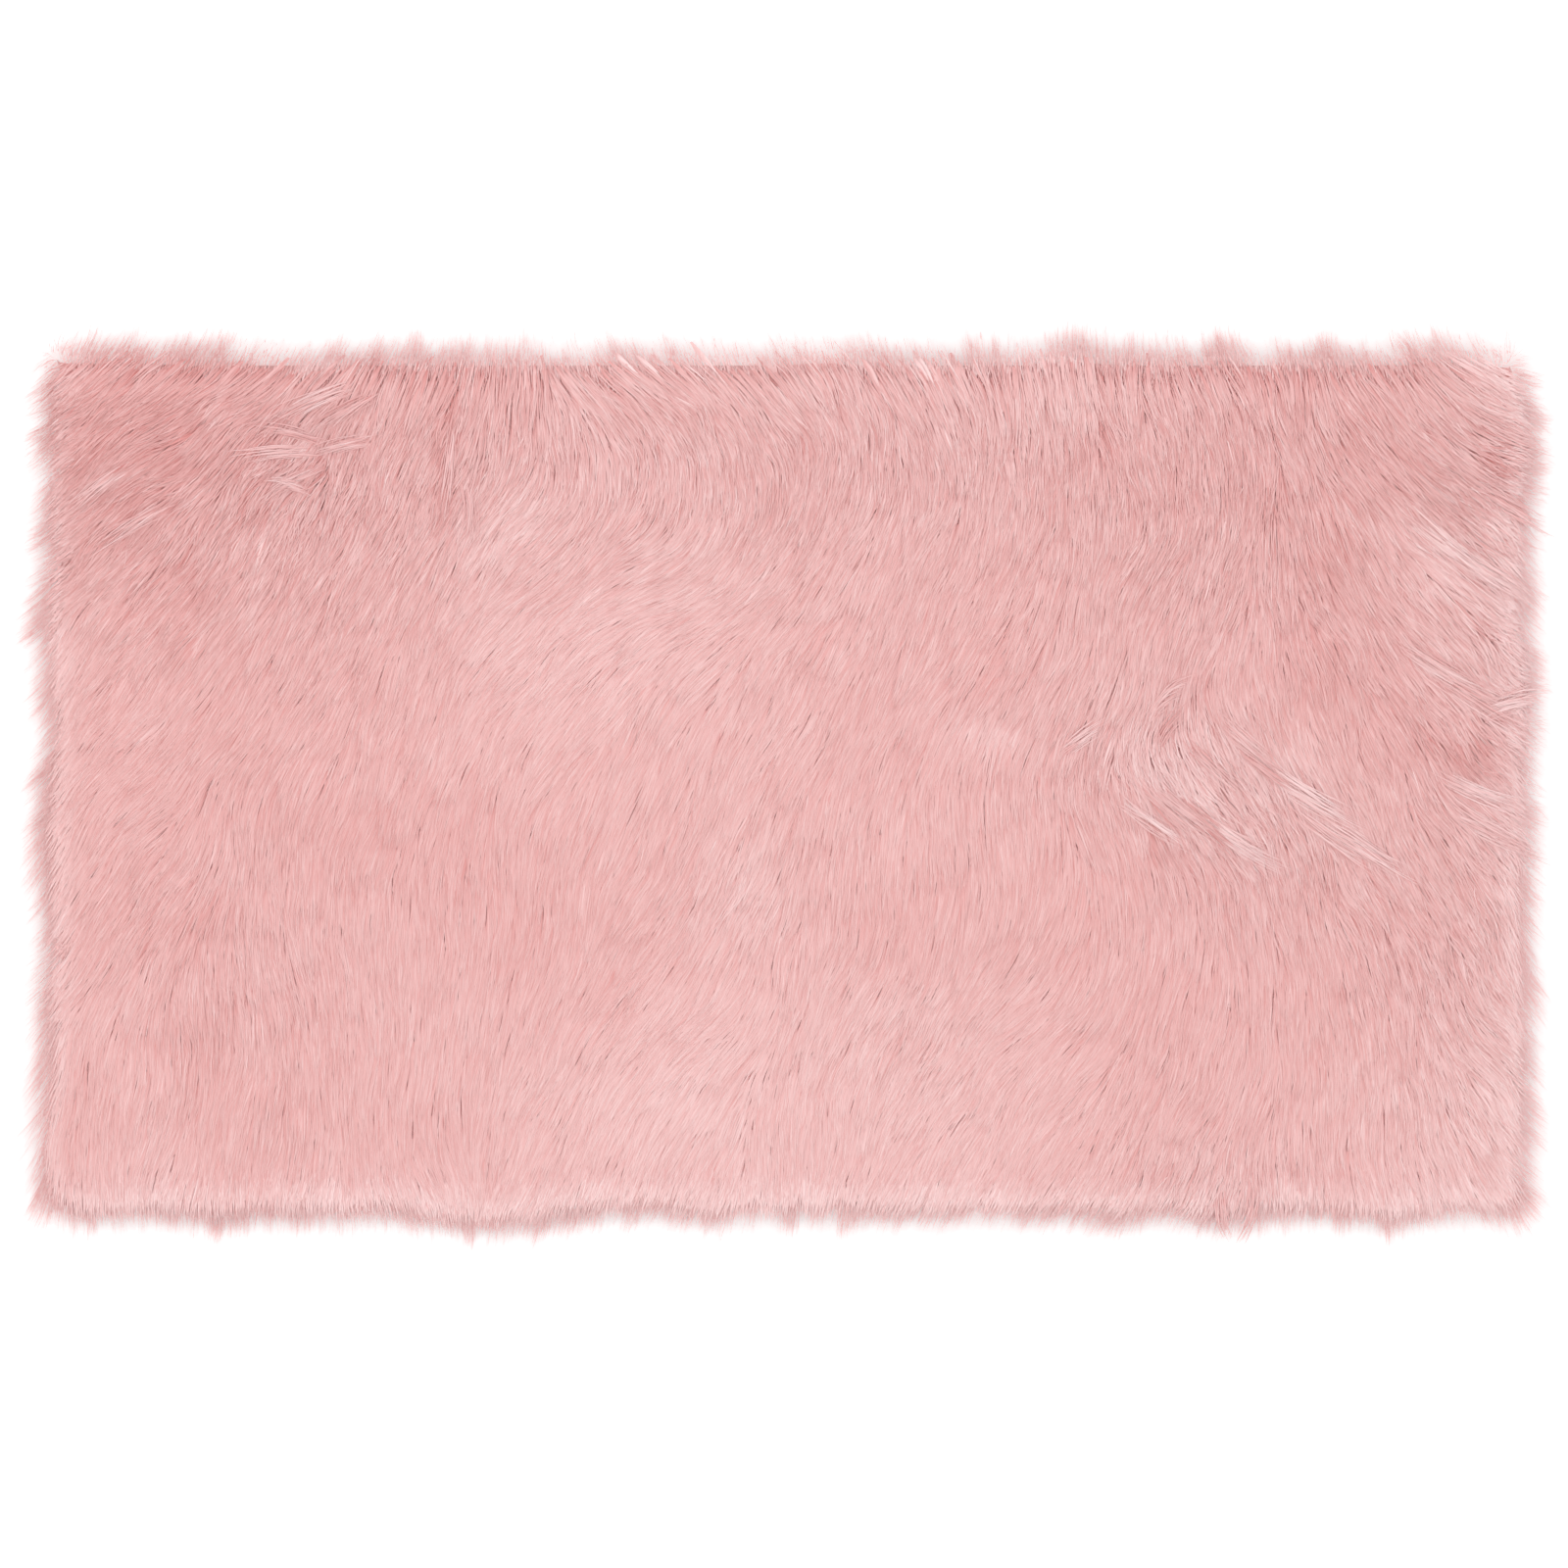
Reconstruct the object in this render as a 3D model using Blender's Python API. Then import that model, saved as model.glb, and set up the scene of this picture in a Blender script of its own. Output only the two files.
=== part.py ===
"""Faux sheepskin rug, lying flat: one long-pile cloth, modelled as one solid of its real thickness.

The pile is 60 mm long and lies over, so the rug is about 30 mm thick. The solid reaches as far as the
pile does. Its sole is flat, its rim bulges and rolls over as drooping pile does, its outline is as ragged
as the pile leaves it, and its top has the swells, tufts and partings of pile that was brushed by hand.

Units are metres. +X runs along the rug, +Y across it and +Z up. The origin is on the sole, in the middle.
"""

import math
from collections import namedtuple

import bmesh
import bpy

# Driving sizes.
LENGTH = 1.500          # along X, between the straight lines that the ragged rim runs along
WIDTH = 0.884           # along Y, likewise
PILE_TOP = 0.0285       # how high the brushed pile stands above the floor
CELL = 0.028            # about how far apart the points of the top are
FRAY_DEPTH = 0.070      # how far in from the rim a tuft or a notch still bends the pile
RISE_DEPTH = 0.070      # how far in from the rim's profile the pile comes up to its full height
TUFT_FOOT = 2.0         # a tuft's foot against the tuft's width at half of its reach
SWELL_FOOT = 1.6        # where a swell dies away, in its own half sizes
SHARP_ANGLE = 50.0      # degrees; flatter meetings of faces than this are shaded smooth

# The rim's profile, from the sole outwards, up and over on to the top.
RimPoint = namedtuple("RimPoint", "inset height")
SOLE_INSET = 0.009
RIM_PROFILE = (
    RimPoint(0.0000, 0.0075),
    RimPoint(0.0025, 0.0140),
    RimPoint(0.0085, 0.0200),
    RimPoint(0.0200, 0.0245),
    RimPoint(0.0400, 0.0273),
)

# How far each corner is rounded off, by the signs of its X and Y.
CORNER_RADIUS = {(-1, 1): 0.030, (1, 1): 0.040, (-1, -1): 0.034, (1, -1): 0.028}

# Tufts that stand out of the rim, and notches with a negative reach. at is the place along the side,
# from its middle towards +X or +Y, and half is half of the tuft's width at half of its reach.
Tuft = namedtuple("Tuft", "at reach half")
RIM_TUFTS = {
    "far": (
        Tuft(-0.660, 0.009, 0.055),
        Tuft(-0.540, 0.004, 0.060),
        Tuft(-0.410, -0.003, 0.055),
        Tuft(-0.285, 0.005, 0.040),
        Tuft(-0.125, 0.006, 0.045),
        Tuft(0.035, -0.009, 0.050),
        Tuft(0.180, 0.003, 0.050),
        Tuft(0.275, 0.011, 0.040),
        Tuft(0.365, 0.006, 0.045),
        Tuft(0.420, -0.008, 0.035),
        Tuft(0.535, 0.003, 0.045),
        Tuft(0.650, -0.010, 0.050),
    ),
    "near": (
        Tuft(-0.665, -0.006, 0.040),
        Tuft(-0.560, 0.005, 0.070),
        Tuft(-0.430, -0.006, 0.035),
        Tuft(-0.345, 0.007, 0.050),
        Tuft(-0.280, 0.013, 0.040),
        Tuft(-0.050, -0.006, 0.045),
        Tuft(0.065, -0.005, 0.030),
        Tuft(0.120, 0.006, 0.035),
        Tuft(0.158, -0.009, 0.030),
        Tuft(0.215, 0.005, 0.045),
        Tuft(0.335, -0.007, 0.040),
        Tuft(0.420, 0.007, 0.035),
        Tuft(0.605, 0.009, 0.050),
        Tuft(0.660, -0.006, 0.035),
    ),
    "left": (
        Tuft(0.290, -0.003, 0.050),
        Tuft(0.188, 0.007, 0.040),
        Tuft(0.120, 0.005, 0.045),
        Tuft(-0.050, -0.006, 0.045),
        Tuft(-0.220, -0.003, 0.070),
        Tuft(-0.355, 0.011, 0.060),
    ),
    "right": (
        Tuft(0.325, 0.009, 0.050),
        Tuft(0.260, -0.005, 0.040),
        Tuft(0.060, 0.006, 0.055),
        Tuft(-0.030, -0.005, 0.050),
        Tuft(-0.215, 0.006, 0.045),
        Tuft(-0.345, 0.002, 0.060),
    ),
}

# Where the brushed pile stands higher, or lower with a negative lift, than the rest. half_length lies
# along turn, in degrees from +X, and half_width across it.
Swell = namedtuple("Swell", "x y half_length half_width turn lift")
SWELLS = (
    Swell(-0.560, 0.310, 0.120, 0.060, 35.0, 0.0025),
    Swell(-0.465, 0.322, 0.060, 0.035, 60.0, -0.0040),
    Swell(-0.395, 0.345, 0.080, 0.040, 80.0, 0.0020),
    Swell(-0.160, 0.335, 0.150, 0.055, -50.0, 0.0025),
    Swell(-0.200, 0.150, 0.170, 0.080, 40.0, 0.0020),
    Swell(0.030, 0.270, 0.110, 0.060, 35.0, -0.0015),
    Swell(0.280, 0.320, 0.120, 0.060, -70.0, 0.0020),
    Swell(0.560, 0.300, 0.130, 0.050, -40.0, 0.0030),
    Swell(0.600, 0.205, 0.130, 0.045, -35.0, 0.0035),
    Swell(0.690, 0.345, 0.070, 0.040, -10.0, -0.0025),
    Swell(0.395, 0.055, 0.070, 0.045, 80.0, -0.0035),
    Swell(0.420, -0.030, 0.120, 0.045, -38.0, 0.0045),
    Swell(0.550, 0.010, 0.110, 0.045, -40.0, 0.0035),
    Swell(0.680, 0.050, 0.080, 0.035, -25.0, 0.0040),
    Swell(0.190, 0.045, 0.090, 0.050, -60.0, 0.0015),
    Swell(-0.570, -0.110, 0.080, 0.045, 75.0, -0.0030),
    Swell(-0.640, 0.020, 0.080, 0.050, 20.0, 0.0020),
    Swell(-0.070, -0.120, 0.090, 0.050, 60.0, -0.0015),
    Swell(-0.100, -0.300, 0.160, 0.070, 50.0, 0.0020),
    Swell(0.600, -0.260, 0.140, 0.060, -60.0, 0.0025),
    Swell(0.455, -0.405, 0.050, 0.030, 0.0, -0.0025),
    Swell(-0.640, -0.330, 0.080, 0.050, 60.0, 0.0020),
)

PILE_PINK = (0.807, 0.462, 0.451, 1.0)
PILE_ROUGHNESS = 0.85


def clear_scene():
    """Remove whatever the startup file holds."""
    for obj in list(bpy.data.objects):
        bpy.data.objects.remove(obj, do_unlink=True)


def pile_material():
    """The pile's plain pink finish."""
    material = bpy.data.materials.new("pink_pile")
    material.use_nodes = True
    shader = material.node_tree.nodes["Principled BSDF"]
    shader.inputs["Base Color"].default_value = PILE_PINK
    shader.inputs["Roughness"].default_value = PILE_ROUGHNESS
    shader.inputs["Metallic"].default_value = 0.0
    material.diffuse_color = PILE_PINK
    return material


def hump(distance, half):
    """A soft hump: 1 at its middle, 0 from half away, and smooth at both."""
    if abs(distance) >= half:
        return 0.0
    return 0.5 * (1.0 + math.cos(math.pi * distance / half))


def tuft_reach(side, at):
    """How far the rim stands out of its straight line at a place along a side."""
    return sum(tuft.reach * hump(at - tuft.at, TUFT_FOOT * tuft.half) for tuft in RIM_TUFTS[side])


def swell_lift(x, y):
    """How much higher than usual the pile stands at a place."""
    lift = 0.0
    for swell in SWELLS:
        turn = math.radians(swell.turn)
        along = (x - swell.x) * math.cos(turn) + (y - swell.y) * math.sin(turn)
        across = (y - swell.y) * math.cos(turn) - (x - swell.x) * math.sin(turn)
        distance = math.hypot(along / swell.half_length, across / swell.half_width)
        lift += swell.lift * hump(distance, SWELL_FOOT)
    return lift


def line_places(size):
    """Places of the grid's lines across one size: close together at the rims, then evenly spaced."""
    half = size / 2.0
    insets = [point.inset for point in RIM_PROFILE]
    middle = 2.0 * (half - insets[-1])
    cells = round(middle / CELL)
    inner = [-middle / 2.0 + middle * step / cells for step in range(1, cells)]
    return [inset - half for inset in insets] + inner + [half - inset for inset in reversed(insets)]


def rounded(x, y):
    """Draw a point of the rectangle in where a corner of the rug is rounded off."""
    sign_x = 1 if x > 0 else -1
    sign_y = 1 if y > 0 else -1
    radius = CORNER_RADIUS[sign_x, sign_y]
    past_x = abs(x) - (LENGTH / 2.0 - radius)
    past_y = abs(y) - (WIDTH / 2.0 - radius)
    if past_x <= 0.0 or past_y <= 0.0:
        return x, y
    shrink = max(past_x, past_y) / math.hypot(past_x, past_y)
    return (
        sign_x * (LENGTH / 2.0 - radius + past_x * shrink),
        sign_y * (WIDTH / 2.0 - radius + past_y * shrink),
    )


def frayed(x, y):
    """Move a point with the tufts and notches of the sides that it is near."""
    side_x = "right" if x > 0 else "left"
    side_y = "far" if y > 0 else "near"
    near_x = max(0.0, 1.0 - (LENGTH / 2.0 - abs(x)) / FRAY_DEPTH)
    near_y = max(0.0, 1.0 - (WIDTH / 2.0 - abs(y)) / FRAY_DEPTH)
    out_x = tuft_reach(side_x, y) * near_x
    out_y = tuft_reach(side_y, x) * near_y
    return x + math.copysign(out_x, x), y + math.copysign(out_y, y)


def rim_height(inset):
    """The pile's height at a distance in from the straight line of the rim."""
    for low, high in zip(RIM_PROFILE, RIM_PROFILE[1:]):
        if inset <= high.inset:
            share = max(0.0, inset - low.inset) / (high.inset - low.inset)
            return low.height + share * (high.height - low.height)
    last = RIM_PROFILE[-1]
    share = min(1.0, (inset - last.inset) / RISE_DEPTH)
    return last.height + share * (PILE_TOP - last.height)


def top_point(x, y):
    """Where a point of the flat rectangle lies on the top of the pile."""
    inset = min(LENGTH / 2.0 - abs(x), WIDTH / 2.0 - abs(y))
    inside = min(1.0, max(0.0, inset) / FRAY_DEPTH)
    placed_x, placed_y = frayed(*rounded(x, y))
    return placed_x, placed_y, rim_height(inset) + swell_lift(placed_x, placed_y) * inside


def brushed_top():
    """The top of the pile: a flat grid whose points are moved to the rim's profile and the swells."""
    columns, rows = line_places(LENGTH), line_places(WIDTH)
    bpy.ops.mesh.primitive_grid_add(
        x_subdivisions=len(columns) - 1, y_subdivisions=len(rows) - 1, size=2.0, location=(0, 0, 0)
    )
    rug = bpy.context.active_object
    for vertex in rug.data.vertices:
        column = round((vertex.co.x + 1.0) / 2.0 * (len(columns) - 1))
        row = round((vertex.co.y + 1.0) / 2.0 * (len(rows) - 1))
        vertex.co = top_point(columns[column], rows[row])
    return rug


def add_sole(mesh):
    """Close the body below: the rim is drawn in to the floor, and one flat face fills the sole."""
    body = bmesh.new()
    body.from_mesh(mesh)
    rim = [edge for edge in body.edges if edge.is_boundary]
    made = bmesh.ops.extrude_edge_only(body, edges=rim)["geom"]
    lower = [item for item in made if isinstance(item, bmesh.types.BMVert)]
    for vertex in lower:
        vertex.co.x *= 1.0 - SOLE_INSET / (LENGTH / 2.0)
        vertex.co.y *= 1.0 - SOLE_INSET / (WIDTH / 2.0)
        vertex.co.z = 0.0
    bmesh.ops.holes_fill(body, edges=[edge for edge in body.edges if edge.is_boundary], sides=0)
    bmesh.ops.recalc_face_normals(body, faces=body.faces)
    body.to_mesh(mesh)
    body.free()


def centre(mesh):
    """Bring the middle of the ragged outline to the origin."""
    for axis in (0, 1):
        places = [vertex.co[axis] for vertex in mesh.vertices]
        shift = (max(places) + min(places)) / 2.0
        for vertex in mesh.vertices:
            vertex.co[axis] -= shift


def make_rug(collection):
    """The whole rug, as one closed solid."""
    rug = brushed_top()
    rug.name = "fur_rug"
    rug.data.name = "fur_rug"
    add_sole(rug.data)
    centre(rug.data)
    rug.data.materials.append(pile_material())
    rug.data.shade_smooth()
    rug.data.set_sharp_from_angle(angle=math.radians(SHARP_ANGLE))
    for holder in list(rug.users_collection):
        holder.objects.unlink(rug)
    collection.objects.link(rug)
    return rug


def main():
    clear_scene()
    collection = bpy.data.collections.new("faux_sheepskin_rug")
    bpy.context.scene.collection.children.link(collection)
    make_rug(collection)


main()
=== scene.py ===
"""Faux sheepskin rug in pale pink, laid flat on a pale floor and seen from straight above.

The rug is one cloth: a knitted ground with a 60 mm pile, brushed by hand so that it lies over. It is built
as a ground cloth, a body of underfur, and coats of locks and hairs that follow one combed lay, with a few
loose locks over them. The locks are narrow tapered ribbons with normals that turn across them, so that each
one shades as a round lock.

Units are metres. +X runs along the rug, +Y across it and +Z up out of the pile.
"""

import logging
import math
from dataclasses import dataclass, field
from enum import Enum

import bmesh
import bpy
import numpy as np
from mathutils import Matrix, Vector
from mathutils.bvhtree import BVHTree


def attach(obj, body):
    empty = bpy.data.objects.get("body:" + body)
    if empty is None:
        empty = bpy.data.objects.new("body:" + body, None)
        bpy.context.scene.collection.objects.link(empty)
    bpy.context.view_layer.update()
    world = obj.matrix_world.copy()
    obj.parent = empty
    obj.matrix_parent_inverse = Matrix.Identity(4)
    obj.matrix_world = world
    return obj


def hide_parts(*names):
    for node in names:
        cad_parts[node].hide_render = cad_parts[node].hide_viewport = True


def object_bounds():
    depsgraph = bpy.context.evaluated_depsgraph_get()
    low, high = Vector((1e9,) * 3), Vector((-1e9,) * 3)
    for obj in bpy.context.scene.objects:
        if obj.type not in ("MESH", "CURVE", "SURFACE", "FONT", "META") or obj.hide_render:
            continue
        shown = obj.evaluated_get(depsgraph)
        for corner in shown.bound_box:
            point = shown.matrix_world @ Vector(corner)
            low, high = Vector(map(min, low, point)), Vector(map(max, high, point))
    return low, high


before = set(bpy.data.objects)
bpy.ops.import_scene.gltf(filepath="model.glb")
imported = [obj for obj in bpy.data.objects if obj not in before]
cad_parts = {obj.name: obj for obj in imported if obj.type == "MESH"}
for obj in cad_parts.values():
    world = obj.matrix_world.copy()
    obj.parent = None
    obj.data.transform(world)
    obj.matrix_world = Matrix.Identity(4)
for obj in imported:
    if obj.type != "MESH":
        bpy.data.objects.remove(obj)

CAD_BOX = [list(corner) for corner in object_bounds()]
LOG = logging.getLogger("faux_sheepskin_rug")

RUG_NODE = "fur_rug"
RUG_BODY = "root"
SEED = 27

Colour = tuple[float, float, float, float]


class Side(Enum):
    """The four sides of the rug, by the way that each faces."""

    FAR = (0.0, 1.0)
    NEAR = (0.0, -1.0)
    LEFT = (-1.0, 0.0)
    RIGHT = (1.0, 0.0)


@dataclass(frozen=True)
class RimHabit:
    """How the pile hangs at one side.

    line is how far inside the solid's outline half of the floor is hidden, and flare is how far the tips
    thin out to either side of that line. hem is how far inside the outline the pile's roots end, and fray
    is how unevenly they do. Within the band the comb's lay gives way to the fall over the rim, as far as
    drawn says; rim_band and rim_drawn say so for the locks of the rim itself.
    """

    line: float
    flare: float
    hem: float
    fray: float
    band: float
    drawn: float
    rim_band: float
    rim_drawn: float


@dataclass(frozen=True)
class Stroke:
    """One stroke of the comb: where it passes, the way it lays the tips, and how wide it is felt."""

    x: float
    y: float
    heading: float
    reach: float


@dataclass(frozen=True)
class Patch:
    """A soft oval patch of the rug where something is more by its lift, or less with a negative one."""

    x: float
    y: float
    half_length: float
    half_width: float
    turn: float
    lift: float

    def felt(self, points: np.ndarray) -> np.ndarray:
        """Give how much of the lift is felt at each point."""
        turn = math.radians(self.turn)
        x, y = points[..., 0] - self.x, points[..., 1] - self.y
        along = (x * math.cos(turn) + y * math.sin(turn)) / self.half_length
        across = (y * math.cos(turn) - x * math.sin(turn)) / self.half_width
        return self.lift * np.exp(-(along**2 + across**2))


@dataclass(frozen=True)
class Tussock:
    """A loose lock: where it is rooted, the way it lies, how far it turns to its tip, and how pale it is."""

    x: float
    y: float
    heading: float
    length: float
    width: float
    bend: float
    tone: float


# How the pile was combed. heading is in degrees from +X, reach in metres.
COMB_STROKES = (
    Stroke(-0.68, 0.35, -140.0, 0.08),
    Stroke(-0.52, 0.36, -136.0, 0.08),
    Stroke(-0.37, 0.36, -115.0, 0.05),
    Stroke(-0.27, 0.37, -100.0, 0.04),
    Stroke(-0.16, 0.39, -38.0, 0.06),
    Stroke(-0.04, 0.36, -50.0, 0.08),
    Stroke(0.12, 0.38, -54.0, 0.07),
    Stroke(0.30, 0.36, -86.0, 0.09),
    Stroke(0.43, 0.40, -54.0, 0.04),
    Stroke(0.50, 0.36, -74.0, 0.05),
    Stroke(0.61, 0.36, -55.0, 0.06),
    Stroke(0.70, 0.38, -20.0, 0.05),
    Stroke(-0.68, 0.27, -144.0, 0.07),
    Stroke(-0.54, 0.27, -128.0, 0.07),
    Stroke(-0.42, 0.30, -106.0, 0.06),
    Stroke(-0.31, 0.25, -120.0, 0.06),
    Stroke(-0.19, 0.32, -88.0, 0.05),
    Stroke(-0.21, 0.23, -146.0, 0.06),
    Stroke(-0.05, 0.29, -105.0, 0.05),
    Stroke(-0.13, 0.28, -125.0, 0.05),
    Stroke(0.09, 0.30, -108.0, 0.07),
    Stroke(0.25, 0.28, -106.0, 0.07),
    Stroke(0.36, 0.30, -84.0, 0.05),
    Stroke(0.43, 0.26, -116.0, 0.05),
    Stroke(0.53, 0.28, -70.0, 0.06),
    Stroke(0.66, 0.29, -38.0, 0.07),
    Stroke(0.73, 0.33, -8.0, 0.04),
    Stroke(-0.66, 0.18, -134.0, 0.09),
    Stroke(-0.48, 0.18, -118.0, 0.10),
    Stroke(-0.12, 0.17, -150.0, 0.06),
    Stroke(0.00, 0.22, -130.0, 0.07),
    Stroke(0.10, 0.18, -115.0, 0.06),
    Stroke(0.21, 0.18, -126.0, 0.06),
    Stroke(0.30, 0.17, -97.0, 0.04),
    Stroke(0.37, 0.21, -122.0, 0.04),
    Stroke(0.43, 0.16, -112.0, 0.05),
    Stroke(0.52, 0.18, -73.0, 0.06),
    Stroke(0.65, 0.18, -45.0, 0.09),
    Stroke(-0.68, 0.07, -130.0, 0.07),
    Stroke(-0.46, 0.07, -116.0, 0.10),
    Stroke(-0.22, 0.08, -126.0, 0.09),
    Stroke(0.04, 0.08, -124.0, 0.09),
    Stroke(0.20, 0.07, -127.0, 0.05),
    Stroke(0.29, 0.06, -118.0, 0.05),
    Stroke(0.36, 0.08, -98.0, 0.05),
    Stroke(0.44, 0.07, -62.0, 0.04),
    Stroke(0.54, 0.09, -82.0, 0.06),
    Stroke(0.66, 0.08, -56.0, 0.06),
    Stroke(0.73, 0.08, -12.0, 0.03),
    Stroke(-0.66, -0.01, -138.0, 0.05),
    Stroke(-0.44, -0.02, -113.0, 0.09),
    Stroke(-0.14, -0.01, -118.0, 0.08),
    Stroke(0.04, -0.02, -104.0, 0.07),
    Stroke(0.19, -0.04, -89.0, 0.08),
    Stroke(0.31, -0.04, -58.0, 0.04),
    Stroke(0.40, -0.02, -50.0, 0.06),
    Stroke(0.53, -0.04, -58.0, 0.07),
    Stroke(0.60, -0.01, -82.0, 0.03),
    Stroke(0.70, -0.02, -36.0, 0.06),
    Stroke(-0.67, -0.11, -118.0, 0.07),
    Stroke(-0.58, -0.11, -128.0, 0.04),
    Stroke(-0.49, -0.15, -84.0, 0.09),
    Stroke(-0.50, -0.11, -76.0, 0.05),
    Stroke(-0.31, -0.12, -94.0, 0.09),
    Stroke(-0.03, -0.09, -125.0, 0.04),
    Stroke(0.12, -0.10, -90.0, 0.07),
    Stroke(0.23, -0.14, -118.0, 0.05),
    Stroke(0.33, -0.10, -83.0, 0.06),
    Stroke(0.49, -0.13, -74.0, 0.07),
    Stroke(0.66, -0.13, -62.0, 0.09),
    Stroke(-0.70, -0.20, -130.0, 0.05),
    Stroke(-0.46, -0.24, -88.0, 0.10),
    Stroke(-0.25, -0.25, -112.0, 0.07),
    Stroke(-0.12, -0.25, -130.0, 0.08),
    Stroke(0.01, -0.20, -110.0, 0.05),
    Stroke(0.12, -0.23, -122.0, 0.06),
    Stroke(0.25, -0.27, -130.0, 0.06),
    Stroke(0.38, -0.20, -108.0, 0.07),
    Stroke(0.56, -0.21, -92.0, 0.06),
    Stroke(0.72, -0.26, -46.0, 0.05),
    Stroke(-0.66, -0.35, -98.0, 0.09),
    Stroke(-0.53, -0.32, -108.0, 0.04),
    Stroke(-0.35, -0.35, -76.0, 0.06),
    Stroke(-0.41, -0.29, -108.0, 0.05),
    Stroke(-0.20, -0.36, -115.0, 0.08),
    Stroke(0.02, -0.36, -97.0, 0.06),
    Stroke(0.18, -0.37, -118.0, 0.08),
    Stroke(0.34, -0.36, -120.0, 0.07),
    Stroke(0.46, -0.32, -104.0, 0.06),
    Stroke(0.58, -0.35, -80.0, 0.07),
    Stroke(0.71, -0.36, -54.0, 0.06),
)
MAIN_HEADING = -104.0

# At the far side the pile is combed away from the rim, so only the locks of the rim itself fall over it.
RIM_HABITS = {
    Side.FAR: RimHabit(
        line=0.0235, flare=0.018, hem=0.031, fray=0.009,
        band=0.004, drawn=0.00, rim_band=0.080, rim_drawn=1.00,
    ),
    Side.NEAR: RimHabit(
        line=0.0170, flare=0.016, hem=0.034, fray=0.002,
        band=0.030, drawn=0.35, rim_band=0.045, rim_drawn=0.52,
    ),
    Side.LEFT: RimHabit(
        line=0.0230, flare=0.025, hem=0.031, fray=0.002,
        band=0.030, drawn=0.30, rim_band=0.045, rim_drawn=0.45,
    ),
    Side.RIGHT: RimHabit(
        line=0.0190, flare=0.022, hem=0.031, fray=0.002,
        band=0.030, drawn=0.30, rim_band=0.045, rim_drawn=0.45,
    ),
}

# The furthest that any tip hangs out past the solid's outline.
OVERHANG_LIMIT = 0.018

# How much further than the solid the pile fills each corner, by the signs of its X and Y.
CORNER_FULLNESS = {(-1, 1): 0.020, (1, 1): 0.009, (-1, -1): 0.009, (1, -1): 0.015}

# Patches of mostly painted light and shade: the brushed pile is painted paler where its lean turns it to the
# light, and deeper pink where it turns away and where it parts. turn is in degrees from +X.
PAINTED_LIGHT_AND_SHADE = (
    Patch(-0.68, 0.34, 0.20, 0.13, 0.0, -0.45),
    Patch(-0.52, 0.38, 0.28, 0.10, 0.0, -0.35),
    Patch(0.60, 0.33, 0.20, 0.13, -15.0, -0.55),
    Patch(0.10, 0.26, 0.40, 0.07, 0.0, -0.05),
    Patch(-0.04, -0.12, 0.05, 0.06, 0.0, 0.45),
    Patch(-0.59, 0.19, 0.06, 0.04, 0.0, -0.40),
    Patch(-0.18, 0.13, 0.20, 0.13, 20.0, 0.30),
    Patch(0.00, -0.34, 0.30, 0.11, 0.0, 0.35),
    Patch(0.70, -0.36, 0.10, 0.09, 0.0, 0.45),
    Patch(0.76, 0.10, 0.10, 0.30, 0.0, 0.40),
    Patch(0.70, 0.32, 0.05, 0.05, 0.0, -0.25),
    Patch(-0.40, -0.02, 0.30, 0.14, 0.0, -0.25),
    Patch(0.58, 0.09, 0.16, 0.09, 0.0, -0.35),
    Patch(-0.22, -0.01, 0.13, 0.06, 0.0, 0.15),
    Patch(-0.18, -0.32, 0.07, 0.06, 0.0, 0.35),
    Patch(0.68, -0.10, 0.07, 0.14, 0.0, -0.35),
    Patch(-0.59, -0.25, 0.06, 0.06, 0.0, -0.35),
    Patch(0.43, -0.36, 0.07, 0.05, 0.0, -0.25),
    Patch(0.40, -0.02, 0.06, 0.025, -38.0, 0.60),
    Patch(0.55, -0.03, 0.10, 0.03, -42.0, 0.35),
    Patch(0.63, 0.24, 0.07, 0.025, -35.0, 0.35),
    Patch(-0.68, -0.06, 0.07, 0.04, 30.0, 0.15),
    Patch(0.20, 0.045, 0.035, 0.020, -20.0, 0.45),
    Patch(-0.66, 0.27, 0.08, 0.03, 35.0, -0.25),
    Patch(-0.338, 0.325, 0.010, 0.055, 0.0, -0.80),
    Patch(-0.470, 0.315, 0.030, 0.018, 40.0, -0.60),
    Patch(0.703, 0.317, 0.025, 0.015, 0.0, -1.00),
    Patch(0.690, 0.205, 0.025, 0.010, -20.0, -0.70),
    Patch(0.690, 0.030, 0.050, 0.020, -10.0, -0.60),
    Patch(0.690, 0.235, 0.070, 0.022, -28.0, -0.15),
    Patch(-0.577, -0.140, 0.030, 0.020, 30.0, -0.40),
    Patch(0.310, 0.330, 0.020, 0.020, 0.0, -0.40),
    Patch(-0.285, 0.240, 0.050, 0.025, 20.0, 0.40),
)

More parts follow.
